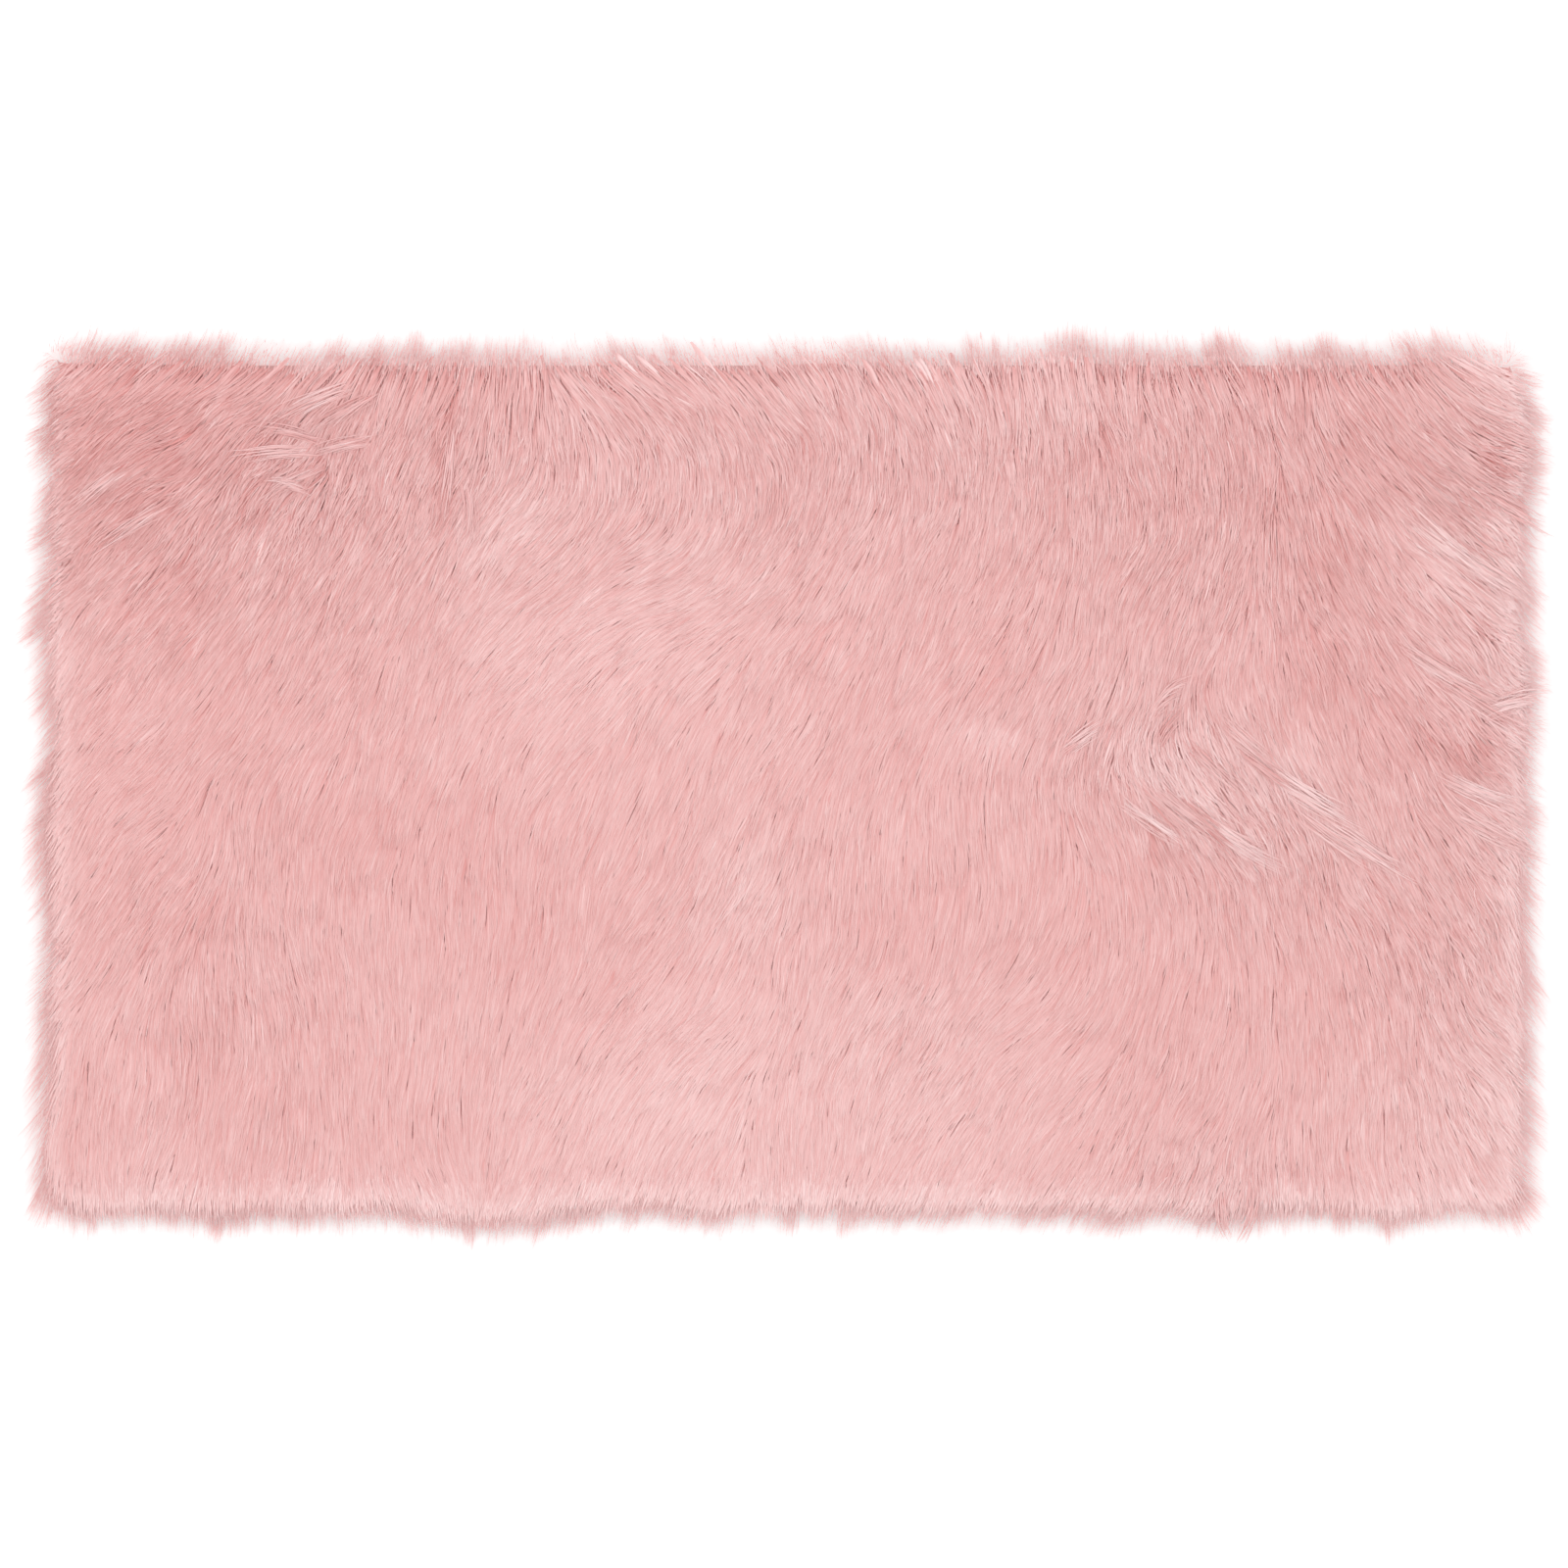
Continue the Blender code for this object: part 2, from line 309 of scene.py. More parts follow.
# Loose locks of longer pile that lie over the rest. heading and bend are in degrees, from +X and from root
# to tip.
TUSSOCKS = (
    Tussock(0.327, -0.008, -36.0, 0.066, 0.014, 14.0, 0.35),
    Tussock(0.345, 0.012, -44.0, 0.070, 0.012, 10.0, 0.10),
    Tussock(0.360, 0.008, -40.0, 0.072, 0.020, 8.0, 0.20),
    Tussock(0.385, -0.004, -42.0, 0.070, 0.014, 12.0, -0.10),
    Tussock(0.408, -0.026, -32.0, 0.076, 0.016, 12.0, 0.40),
    Tussock(0.395, 0.050, -46.0, 0.060, 0.016, 6.0, 0.05),
    Tussock(0.425, 0.075, -42.0, 0.064, 0.016, 8.0, 0.15),
    Tussock(0.440, 0.050, -38.0, 0.064, 0.014, 8.0, 0.05),
    Tussock(0.476, 0.020, -32.0, 0.080, 0.022, 8.0, 0.45),
    Tussock(0.500, -0.018, -34.0, 0.080, 0.016, 8.0, 0.20),
    Tussock(0.540, -0.035, -34.0, 0.070, 0.018, 8.0, 0.25),
    Tussock(0.366, 0.066, 46.0, 0.040, 0.012, -60.0, 0.20),
    Tussock(0.372, 0.036, 60.0, 0.038, 0.010, -50.0, -0.05),
    Tussock(0.270, 0.028, 36.0, 0.042, 0.014, -16.0, 0.30),
    Tussock(0.605, 0.152, -34.0, 0.080, 0.018, 14.0, 0.30),
    Tussock(0.640, 0.120, -32.0, 0.080, 0.016, 14.0, 0.10),
    Tussock(0.638, 0.020, -24.0, 0.080, 0.014, 16.0, 0.35),
    Tussock(0.655, -0.012, -30.0, 0.078, 0.020, 18.0, 0.25),
    Tussock(0.690, 0.066, 20.0, 0.052, 0.016, -42.0, 0.45),
    Tussock(0.620, 0.275, -40.0, 0.085, 0.022, 16.0, 0.40),
    Tussock(0.655, 0.245, -34.0, 0.080, 0.020, 14.0, 0.35),
    Tussock(0.600, 0.345, -46.0, 0.090, 0.016, 26.0, 0.05),
    Tussock(0.640, 0.360, -40.0, 0.085, 0.016, 30.0, 0.10),
    Tussock(0.668, 0.385, -30.0, 0.075, 0.014, 28.0, 0.15),
    Tussock(0.690, 0.300, -30.0, 0.060, 0.014, 20.0, 0.10),
    Tussock(-0.455, 0.332, -176.0, 0.060, 0.010, 16.0, 0.25),
    Tussock(-0.452, 0.322, -150.0, 0.055, 0.010, 10.0, 0.15),
    Tussock(-0.456, 0.340, 165.0, 0.050, 0.010, 20.0, 0.10),
    Tussock(-0.425, 0.400, -156.0, 0.066, 0.014, 14.0, 0.25),
    Tussock(-0.400, 0.392, -150.0, 0.060, 0.012, 14.0, 0.10),
    Tussock(-0.470, 0.288, 160.0, 0.036, 0.010, 50.0, 0.20),
    Tussock(-0.400, 0.345, -168.0, 0.050, 0.012, 20.0, 0.20),
    Tussock(-0.330, 0.370, -96.0, 0.070, 0.010, -10.0, 0.10),
    Tussock(-0.322, 0.310, -84.0, 0.050, 0.010, -36.0, 0.15),
    Tussock(-0.300, 0.375, -100.0, 0.070, 0.010, -14.0, 0.10),
    Tussock(-0.650, 0.320, -142.0, 0.060, 0.016, 10.0, 0.15),
    Tussock(-0.610, 0.280, -150.0, 0.060, 0.016, 14.0, 0.10),
    Tussock(0.462, -0.388, -96.0, 0.050, 0.012, -40.0, 0.20),
    Tussock(0.436, -0.395, -84.0, 0.045, 0.010, 40.0, 0.15),
)

# Where the pile is ruffled more than it is elsewhere, or less with a negative lift.
RUFFLES = (
    Patch(0.00, 0.42, 1.60, 0.17, 0.0, 0.38),
    Patch(0.75, 0.16, 0.10, 0.26, 0.0, 0.85),
    Patch(0.72, -0.20, 0.12, 0.20, 0.0, 0.45),
    Patch(0.70, 0.30, 0.08, 0.06, 0.0, 0.50),
    Patch(0.50, 0.22, 0.22, 0.12, -30.0, 0.20),
    Patch(0.43, 0.00, 0.13, 0.07, -35.0, 0.75),
    Patch(-0.56, 0.26, 0.22, 0.10, 0.0, 0.25),
    Patch(-0.47, 0.33, 0.06, 0.05, 0.0, 0.45),
    Patch(-0.02, -0.08, 0.06, 0.05, 0.0, 0.20),
    Patch(-0.55, -0.15, 0.10, 0.14, 0.0, 0.15),
    Patch(0.43, -0.39, 0.08, 0.05, 0.0, 0.45),
    Patch(0.13, -0.23, 0.08, 0.05, 0.0, 0.15),
)

# How ruffled the pile is away from all of those.
CALM = 0.32


def blended(share: np.ndarray) -> np.ndarray:
    """Ease a share from 0 to 1 in and out, with what lies outside cut off."""
    share = np.clip(share, 0.0, 1.0)
    return share * share * (3.0 - 2.0 * share)


def nearing(distance: np.ndarray, whole: object, gone: object) -> np.ndarray:
    """Fade from 1 near a line to 0 away from it.

    Args:
        distance: How far each place is from the line.
        whole: The distance up to which the fade gives 1.
        gone: The distance from which it gives 0.

    Returns:
        One share for each place.
    """
    return blended((gone - distance) / (gone - whole))


def varied(rng: np.random.Generator, count: int, spread: float, least: float, most: float) -> np.ndarray:
    """Draw sizes that vary about 1.

    Args:
        rng: Where the numbers come from.
        count: How many to draw.
        spread: How much they vary.
        least: The smallest allowed.
        most: The largest allowed.

    Returns:
        The sizes.
    """
    return np.clip(rng.normal(1.0, spread, count), least, most)


def habit_at(outward: np.ndarray, name: str) -> np.ndarray:
    """Blend one of the four sides' habits by the way that each place of the rim faces.

    Args:
        outward: The way outwards at each place.
        name: Which habit, by its field's name.

    Returns:
        One value for each place.
    """
    return sum(
        getattr(habit, name) * np.maximum(outward @ np.array(side.value), 0.0) ** 2
        for side, habit in RIM_HABITS.items()
    )


def unit(vectors: np.ndarray) -> np.ndarray:
    """Scale vectors to a length of one."""
    return vectors / np.maximum(np.linalg.norm(vectors, axis=-1, keepdims=True), 1e-9)


@dataclass
class Grid:
    """Values at evenly spaced places of the floor, read anywhere between them."""

    low: tuple[float, float]
    cell: float
    values: np.ndarray

    @classmethod
    def places(cls, low: tuple[float, float], high: tuple[float, float], cell: float) -> np.ndarray:
        """Give every place of a grid.

        Args:
            low: The lowest corner.
            high: The highest corner.
            cell: The spacing.

        Returns:
            An array of rows, columns and X and Y.
        """
        xs = np.arange(low[0], high[0] + cell, cell)
        ys = np.arange(low[1], high[1] + cell, cell)
        across, up = np.meshgrid(xs, ys)
        return np.stack([across, up], axis=-1)

    def at(self, points: np.ndarray, eased: bool = False) -> np.ndarray:
        """Read the values at points.

        Args:
            points: An array whose last axis holds X and Y.
            eased: Whether to ease between places, so that coarse noise shows no creases.

        Returns:
            One value, or one row of values, for each point.
        """
        rows, columns = self.values.shape[:2]
        x = np.clip((points[..., 0] - self.low[0]) / self.cell, 0.0, columns - 1.001)
        y = np.clip((points[..., 1] - self.low[1]) / self.cell, 0.0, rows - 1.001)
        i, j = x.astype(int), y.astype(int)
        u, v = x - i, y - j
        if eased:
            u, v = blended(u), blended(v)
        if self.values.ndim == 3:
            u, v = u[..., None], v[..., None]
        near = self.values[j, i] * (1.0 - u) + self.values[j, i + 1] * u
        far = self.values[j + 1, i] * (1.0 - u) + self.values[j + 1, i + 1] * u
        return near * (1.0 - v) + far * v


def noise(cell: float, seed: int) -> Grid:
    """Make soft noise between -1 and 1 over the whole floor of the rug.

    Args:
        cell: How far apart its swells are.
        seed: What it grows from.

    Returns:
        The noise as a grid, to be read eased.
    """
    low, high = (-0.9, -0.6), (0.9, 0.6)
    shape = Grid.places(low, high, cell).shape[:2]
    return Grid(low, cell, np.random.default_rng(seed).uniform(-1.0, 1.0, (shape[0] + 1, shape[1] + 1)))


@dataclass
class RugForm:
    """The solid rug, read as a height, a distance in from its outline and a way outwards."""

    node: bpy.types.Object
    cell: float = 0.005
    margin: float = 0.050
    sole_level: float = 0.001
    foot_height: float = 0.0075
    foot_slope: float = 0.45
    corner_reach: float = 0.040
    canopy_rounds: int = 2
    outward_rounds: int = 24
    height: Grid = field(init=False)
    inset: Grid = field(init=False)
    outward: Grid = field(init=False)

    def __post_init__(self) -> None:
        """Read the solid once, on one grid."""
        mesh = self.node.data
        corners = np.array([vertex.co for vertex in mesh.vertices])
        low = tuple(corners[:, :2].min(0) - self.margin)
        high = tuple(corners[:, :2].max(0) + self.margin)
        places = Grid.places(low, high, self.cell)
        tree = BVHTree.FromPolygons(
            [vertex.co for vertex in mesh.vertices], [face.vertices for face in mesh.polygons]
        )
        down = Vector((0.0, 0.0, -1.0))
        rows, columns = places.shape[:2]
        top = np.full((rows, columns), -1.0)
        for row in range(rows):
            for column in range(columns):
                x, y = places[row, column]
                hit = tree.ray_cast(Vector((x, y, 1.0)), down)[0]
                if hit is not None:
                    top[row, column] = hit.z
        distance = self.distance_to(self.outline(corners), places)
        distance[top < 0.0] *= -1.0
        distance += self.fullness(places)
        fallen = self.foot_height + self.foot_slope * np.minimum(distance, 0.0)
        canopy = np.where(top < 0.0, np.maximum(fallen, self.sole_level), top)
        self.height = Grid(low, self.cell, self.softened(canopy, self.canopy_rounds))
        self.inset = Grid(low, self.cell, distance)
        slope_y, slope_x = np.gradient(self.softened(distance, self.outward_rounds))
        self.outward = Grid(low, self.cell, unit(np.stack([-slope_x, -slope_y], axis=-1)))

    def outline(self, corners: np.ndarray) -> np.ndarray:
        """Find the solid's widest ring, which is its lowest one above the sole.

        Args:
            corners: The solid's corners.

        Returns:
            The ring's X and Y, in order round the middle.
        """
        above = corners[corners[:, 2] > self.sole_level]
        ring = above[above[:, 2] < above[:, 2].min() + 1e-4][:, :2]
        ring = np.unique(np.round(ring, 6), axis=0)
        return ring[np.argsort(np.arctan2(ring[:, 1], ring[:, 0]))]

    def fullness(self, places: np.ndarray) -> np.ndarray:
        """Work out how much further each place counts as inside, which squares the pile's corners."""
        more = np.zeros(places.shape[:2])
        for (sign_x, sign_y), fill in CORNER_FULLNESS.items():
            corner = np.array([sign_x * CAD_BOX[1][0], sign_y * CAD_BOX[1][1]])
            more += fill * np.exp(-((np.linalg.norm(places - corner, axis=-1) / self.corner_reach) ** 2))
        return more

    @staticmethod
    def distance_to(ring: np.ndarray, places: np.ndarray) -> np.ndarray:
        """Measure how far each place is from a closed ring."""
        nearest = np.full(places.shape[:2], 1e9)
        for start, end in zip(ring, np.roll(ring, -1, axis=0)):
            along = end - start
            share = ((places - start) @ along) / max(float(along @ along), 1e-12)
            foot = start + np.clip(share, 0.0, 1.0)[..., None] * along
            nearest = np.minimum(nearest, np.linalg.norm(places - foot, axis=-1))
        return nearest

    @staticmethod
    def softened(values: np.ndarray, rounds: int) -> np.ndarray:
        """Average each value with its neighbours, some number of times."""
        for _ in range(rounds):
            padded = np.pad(values, 1, mode="edge")
            values = (
                4.0 * padded[1:-1, 1:-1]
                + padded[:-2, 1:-1] + padded[2:, 1:-1] + padded[1:-1, :-2] + padded[1:-1, 2:]
            ) / 8.0
        return values


@dataclass
class CombedLay:
    """Which way the pile lies and how ruffled it is, from the comb's strokes and the pull of the rim.

    swirl holds pairs of a swell's size and the degrees that it turns the lay by. sway is the size of the
    swells that move the edge of the rim's band, and how far. turnover is the share of the band in which the
    lay gives way to the fall, and splay how far the fall turns straight outwards. bend_from is how far
    along a lock it lies just as combed. parting_at is how fast the lay opens where the pile counts as
    parted. smoothed is how much less ruffled the pile is where it falls over the rim and where it parts,
    and smooth_from the distances in from the outline between which the first of them fades.
    """

    form: RugForm
    at_rim: bool = False
    sway: tuple[float, float] = (0.045, 0.012)
    least_band: float = 0.002
    turnover: float = 0.50
    splay: float = 0.60
    bend_from: float = 0.3
    base_weight: float = 0.04
    parting_at: float = 50.0
    parting_rounds: int = 2
    swirl: tuple[tuple[float, float], ...] = ((0.070, 9.0), (0.022, 8.0))
    smoothed: tuple[float, float] = (0.55, 0.60)
    smooth_from: tuple[float, float] = (0.026, 0.052)
    ruffle_range: tuple[float, float] = (0.2, 1.5)
    fields: Grid = field(init=False)
    parting: Grid = field(init=False)
    ruffle: Grid = field(init=False)

    def __post_init__(self) -> None:
        """Comb the whole rug once, and find where the pile parts."""
        low, cell = self.form.inset.low, self.form.cell
        rows, columns = self.form.inset.values.shape
        places = Grid.places(low, (low[0] + cell * (columns - 1.5), low[1] + cell * (rows - 1.5)), cell)
        base = math.radians(MAIN_HEADING)
        combed = np.zeros_like(places) + self.base_weight * np.array([math.cos(base), math.sin(base)])
        for stroke in COMB_STROKES:
            away = np.hypot(places[..., 0] - stroke.x, places[..., 1] - stroke.y)
            felt = np.exp(-((away / stroke.reach) ** 2))[..., None]
            turn = math.radians(stroke.heading)
            combed += felt * np.array([math.cos(turn), math.sin(turn)])
        angle = np.arctan2(combed[..., 1], combed[..., 0])
        for number, (swell, degrees) in enumerate(self.swirl):
            angle += math.radians(degrees) * noise(swell, SEED + 11 * number).at(places, eased=True)
        outward = self.form.outward.at(places)
        lain = np.stack([np.cos(angle), np.sin(angle)], axis=-1)
        lain *= np.where((lain * outward).sum(-1) < 0.0, -1.0, 1.0)[..., None]
        fall = unit(lain * (1.0 - self.splay) + outward * self.splay)
        swell, sway = self.sway
        band = habit_at(outward, "rim_band" if self.at_rim else "band")
        band = np.maximum(band + sway * noise(swell, SEED + 33).at(places, eased=True), self.least_band)
        drawn = habit_at(outward, "rim_drawn" if self.at_rim else "drawn")
        self.fields = Grid(low, cell, np.stack([
            np.cos(angle), np.sin(angle), fall[..., 0], fall[..., 1],
            self.form.inset.at(places), band, np.minimum(drawn, 1.0),
        ], axis=-1))
        way = self.way(places)
        opening = np.gradient(way[..., 0], axis=1) + np.gradient(way[..., 1], axis=0)
        opening = self.form.softened(opening / cell, self.parting_rounds)
        self.parting = Grid(low, cell, blended(opening / self.parting_at))
        falling = nearing(self.form.inset.at(places), *self.smooth_from) * habit_at(outward, "rim_drawn")
        fallen, parted = self.smoothed
        ruffled = CALM + sum(patch.felt(places) for patch in RUFFLES)
        ruffled *= (1.0 - fallen * np.minimum(falling, 1.0)) * (1.0 - parted * self.parting.values)
        self.ruffle = Grid(low, cell, np.clip(ruffled, *self.ruffle_range))

    def way(self, points: np.ndarray, drift: object = 0.0) -> np.ndarray:
        """Find which way the pile lies.

        Args:
            points: X and Y of each point.
            drift: How much further in each one counts itself, which blurs the line where the pile parts.

        Returns:
            The way at each point, of a length of one.
        """
        read = self.fields.at(points)
        inset, band, drawn = read[..., 4] + drift, read[..., 5], read[..., 6]
        share = (nearing(inset, (1.0 - self.turnover) * band, band) * drawn)[..., None]
        return unit(read[..., :2] * (1.0 - share) + read[..., 2:4] * share)

    def follow(self, start: np.ndarray, length: np.ndarray, steps: int, turn: np.ndarray,
               bend: np.ndarray, drift: np.ndarray) -> np.ndarray:
        """Let fibres lie along the lay.

        Args:
            start: Where each is rooted, X and Y.
            length: How long each is, seen from above.
            steps: How many straight lengths make one.
            turn: How far each is turned from the lay, in radians.
            bend: How much further each turns from root to tip, in radians.
            drift: How much further in each counts itself.

        Returns:
            The X and Y of each fibre's points, root first.
        """
        points = [start]
        for step in range(steps):
            way = self.way(points[-1], drift)
            angle = np.arctan2(way[:, 1], way[:, 0]) + turn + bend * (step / steps - self.bend_from)
            stride = np.stack([np.cos(angle), np.sin(angle)], axis=-1) * (length / steps)[:, None]
            points.append(points[-1] + stride)
        return np.stack(points, axis=1)


@dataclass(frozen=True)
class LockShape:
    """One kind of lock or hair, as a tapered ribbon.

    turn, bend and roll are how much locks differ from the lay in their heading, in how they curve and in
    how they lean over, and fan how far a lock's normals turn out to its edges, all in degrees. The ranges
    are the least and the most of the usual length and half width that one lock has.
    """

    length: float
    half_width: float
    steps: int
    spread: float = 0.18
    length_range: tuple[float, float] = (0.45, 1.5)
    width_spread: float = 0.25
    width_range: tuple[float, float] = (0.45, 1.7)
    root_depth: float = 0.0016
    tip_lift: float = 0.0008
    lift_spread: float = 0.0002
    turn: float = 6.0
    bend: float = 10.0
    roll: float = 6.0
    fan: float = 12.0
    uplift: float = 1.0

    def lengths(self, rng: np.random.Generator, count: int, usual: float) -> np.ndarray:
        """Draw the length of each lock about a usual one."""
        return usual * varied(rng, count, self.spread, *self.length_range)

    def half_widths(self, rng: np.random.Generator, count: int) -> np.ndarray:
        """Draw the half width of each lock."""
        return self.half_width * varied(rng, count, self.width_spread, *self.width_range)


class Chance(Enum):
    """What a tuft's own random numbers are drawn for."""

    DRIFT = 1
    REACH = 2
    HEAVE = 3
    LENGTH = 4
    TURN = 5
    BEND = 6
    TINT = 7


@dataclass
class Tufts:
    """Middles that locks are drawn towards, one to each cell of a loose grid.

    pull is how far the tips are drawn, heave how far a tuft's tips stand above or below the rest, and tint
    how much its tone differs, in shares of the coat's own spread. calm_pull is the share of the pull that
    is felt where the pile isn't ruffled.
    """

    spacing: float
    pull: float
    heave: float
    tint: float
    seed: int
    calm_pull: float = 0.55
    length_spread: float = 0.10
    turn: float = 15.0
    bend: float = 30.0
    spread: float = 0.38
    low: tuple[float, float] = (-0.85, -0.55)
    high: tuple[float, float] = (0.85, 0.55)
    middles: np.ndarray = field(init=False)

    def __post_init__(self) -> None:
        """Scatter the middles."""
        rng = np.random.default_rng(self.seed)
        places = Grid.places(self.low, self.high, self.spacing)
        self.middles = places + rng.uniform(-self.spread, self.spread, places.shape) * self.spacing

    def nearest(self, points: np.ndarray) -> np.ndarray:
        """Find the tuft that each point belongs to.

        Args:
            points: X and Y of each point.

        Returns:
            The number of each one's tuft, counted along the rows.
        """
        rows, columns = self.middles.shape[:2]
        column = np.rint((points[:, 0] - self.low[0]) / self.spacing).astype(int)
        row = np.rint((points[:, 1] - self.low[1]) / self.spacing).astype(int)
        best = np.zeros(len(points), dtype=int)
        least = np.full(len(points), 1e9)
        for up in (-1, 0, 1):
            for across in (-1, 0, 1):
                i = np.clip(column + across, 0, columns - 1)
                j = np.clip(row + up, 0, rows - 1)
                away = np.linalg.norm(points - self.middles[j, i], axis=-1)
                closer = away < least
                least = np.where(closer, away, least)
                best = np.where(closer, j * columns + i, best)
        return best

    def flat(self) -> np.ndarray:
        """All the middles in one list, in the order of their numbers."""
        return self.middles.reshape(-1, 2)

    def chance(self, purpose: Chance) -> np.ndarray:
        """Draw a number for each tuft, spread by one about nought and always the same for one purpose."""
        return np.random.default_rng((self.seed, purpose.value)).normal(0.0, 1.0, len(self.flat()))

    def guides(self, lay: CombedLay, shape: LockShape, stray: np.ndarray) -> np.ndarray:
        """Lay one guide from the middle of each tuft, for its locks to be drawn to.

        Args:
            lay: The combed lay.
            shape: The kind of lock.
            stray: How far a lock may stray from the lay's band at each middle.

        Returns:
            The X and Y of each guide's points, root first.
        """
        middles = self.flat()
        stirred = lay.ruffle.at(middles)
        longer = self.length_spread * (self.chance(Chance.LENGTH) - 0.5)
        length = shape.length * (1.0 + longer)
        turn = math.radians(self.turn) * self.chance(Chance.TURN) * stirred
        bend = math.radians(self.bend) * self.chance(Chance.BEND) * stirred
        return lay.follow(middles, length, shape.steps, turn, bend, stray * self.chance(Chance.DRIFT))

    def pulls(self, ruffle: np.ndarray, share: np.ndarray) -> np.ndarray:
        """Work out how far each lock's points are drawn to its guide.

        Args:
            ruffle: How ruffled the pile is at each lock.
            share: How far along a lock its points are, from 0 to 1.

        Returns:
            A row of shares for each lock.
        """
        felt = self.calm_pull + (1.0 - self.calm_pull) * np.minimum(ruffle, 1.0)
        return self.pull * felt[:, None] * share[None, :] ** 1.3


class NodeSheet:
    """Adds, sets and joins the nodes of one tree."""

    def __init__(self, tree: bpy.types.NodeTree) -> None:
        """Take a tree, which keeps what it has."""
        self.tree = tree

    def add(self, kind: str, **settings: object) -> bpy.types.Node:
        """Add a node and set its properties."""
        node = self.tree.nodes.new(kind)
        for name, value in settings.items():
            setattr(node, name, value)
        return node

    def feed(self, target: bpy.types.NodeSocket, source: object) -> None:
        """Join a socket to a source socket, or set it to a plain value."""
        if isinstance(source, bpy.types.NodeSocket):
            self.tree.links.new(source, target)
        else:
            target.default_value = source

    def math(self, operation: str, first: object, second: object = 0.0,
             third: object = 0.0) -> bpy.types.NodeSocket:
        """Combine values by an operation."""
        node = self.add("ShaderNodeMath", operation=operation)
        for socket, value in zip(node.inputs, (first, second, third)):
            self.feed(socket, value)
        return node.outputs[0]

    def mix(self, share: object, first: object, second: object) -> bpy.types.NodeSocket:
        """Mix two colours."""
        node = self.add("ShaderNodeMix", data_type="RGBA")
        self.feed(node.inputs[0], share)
        self.feed(node.inputs[6], first)
        self.feed(node.inputs[7], second)
        return node.outputs[2]

    def ramp(self, value: object, low: float, high: float, start: float = 0.0,
             end: float = 1.0) -> bpy.types.NodeSocket:
        """Ease a value from one range to another."""
        node = self.add("ShaderNodeMapRange", interpolation_type="SMOOTHSTEP")
        for socket, item in zip(node.inputs, (value, low, high, start, end)):
            self.feed(socket, item)
        return node.outputs[0]


class Socket(Enum):
    """The kinds of socket that a shared effect has."""

    VALUE = "NodeSocketFloat"
    COLOUR = "NodeSocketColor"


def new_effect(name: str, inputs: dict[str, tuple[Socket, object]],
               outputs: dict[str, Socket]) -> tuple[NodeSheet, bpy.types.Node, bpy.types.Node]:
    """Start a shared effect as a node group.

    Args:
        name: The group's name.
        inputs: Each input's kind and usual value.
        outputs: Each output's kind.

    Returns:
        The group's sheet, its input node and its output node.
    """
    tree = bpy.data.node_groups.new(name, "ShaderNodeTree")
    for label, (kind, usual) in inputs.items():
        socket = tree.interface.new_socket(name=label, in_out="INPUT", socket_type=kind.value)
        socket.default_value = usual
    for label, kind in outputs.items():
        tree.interface.new_socket(name=label, in_out="OUTPUT", socket_type=kind.value)
    sheet = NodeSheet(tree)
    return sheet, sheet.add("NodeGroupInput"), sheet.add("NodeGroupOutput")


def fibre_grain_effect() -> bpy.types.NodeTree:
    """Make the fine hairs that run along each lock, as a height and a mask."""
    sheet, given, out = new_effect(
        "fibre_grain",
        {
            "Along": (Socket.VALUE, 0.0),
            "Across": (Socket.VALUE, 0.0),
            "Lot": (Socket.VALUE, 0.0),
            "Hairs": (Socket.VALUE, 3.0),
        },
        {"Mask": Socket.VALUE, "Height": Socket.VALUE},
    )
    swells_along, lots_apart = 2.5, 90.0
    place = sheet.add("ShaderNodeCombineXYZ")
    sheet.feed(place.inputs[0], sheet.math("MULTIPLY", given.outputs["Across"], given.outputs["Hairs"]))
    sheet.feed(place.inputs[1], sheet.math("MULTIPLY", given.outputs["Along"], swells_along))
    sheet.feed(place.inputs[2], sheet.math("MULTIPLY", given.outputs["Lot"], lots_apart))
    grain = sheet.add("ShaderNodeTexNoise")
    sheet.feed(grain.inputs["Vector"], place.outputs[0])
    sheet.feed(grain.inputs["Scale"], 1.0)
    sheet.feed(grain.inputs["Detail"], 2.0)
    sheet.feed(out.inputs["Mask"], sheet.ramp(grain.outputs[0], 0.30, 0.70))
    sheet.feed(out.inputs["Height"], grain.outputs[0])
    return sheet.tree


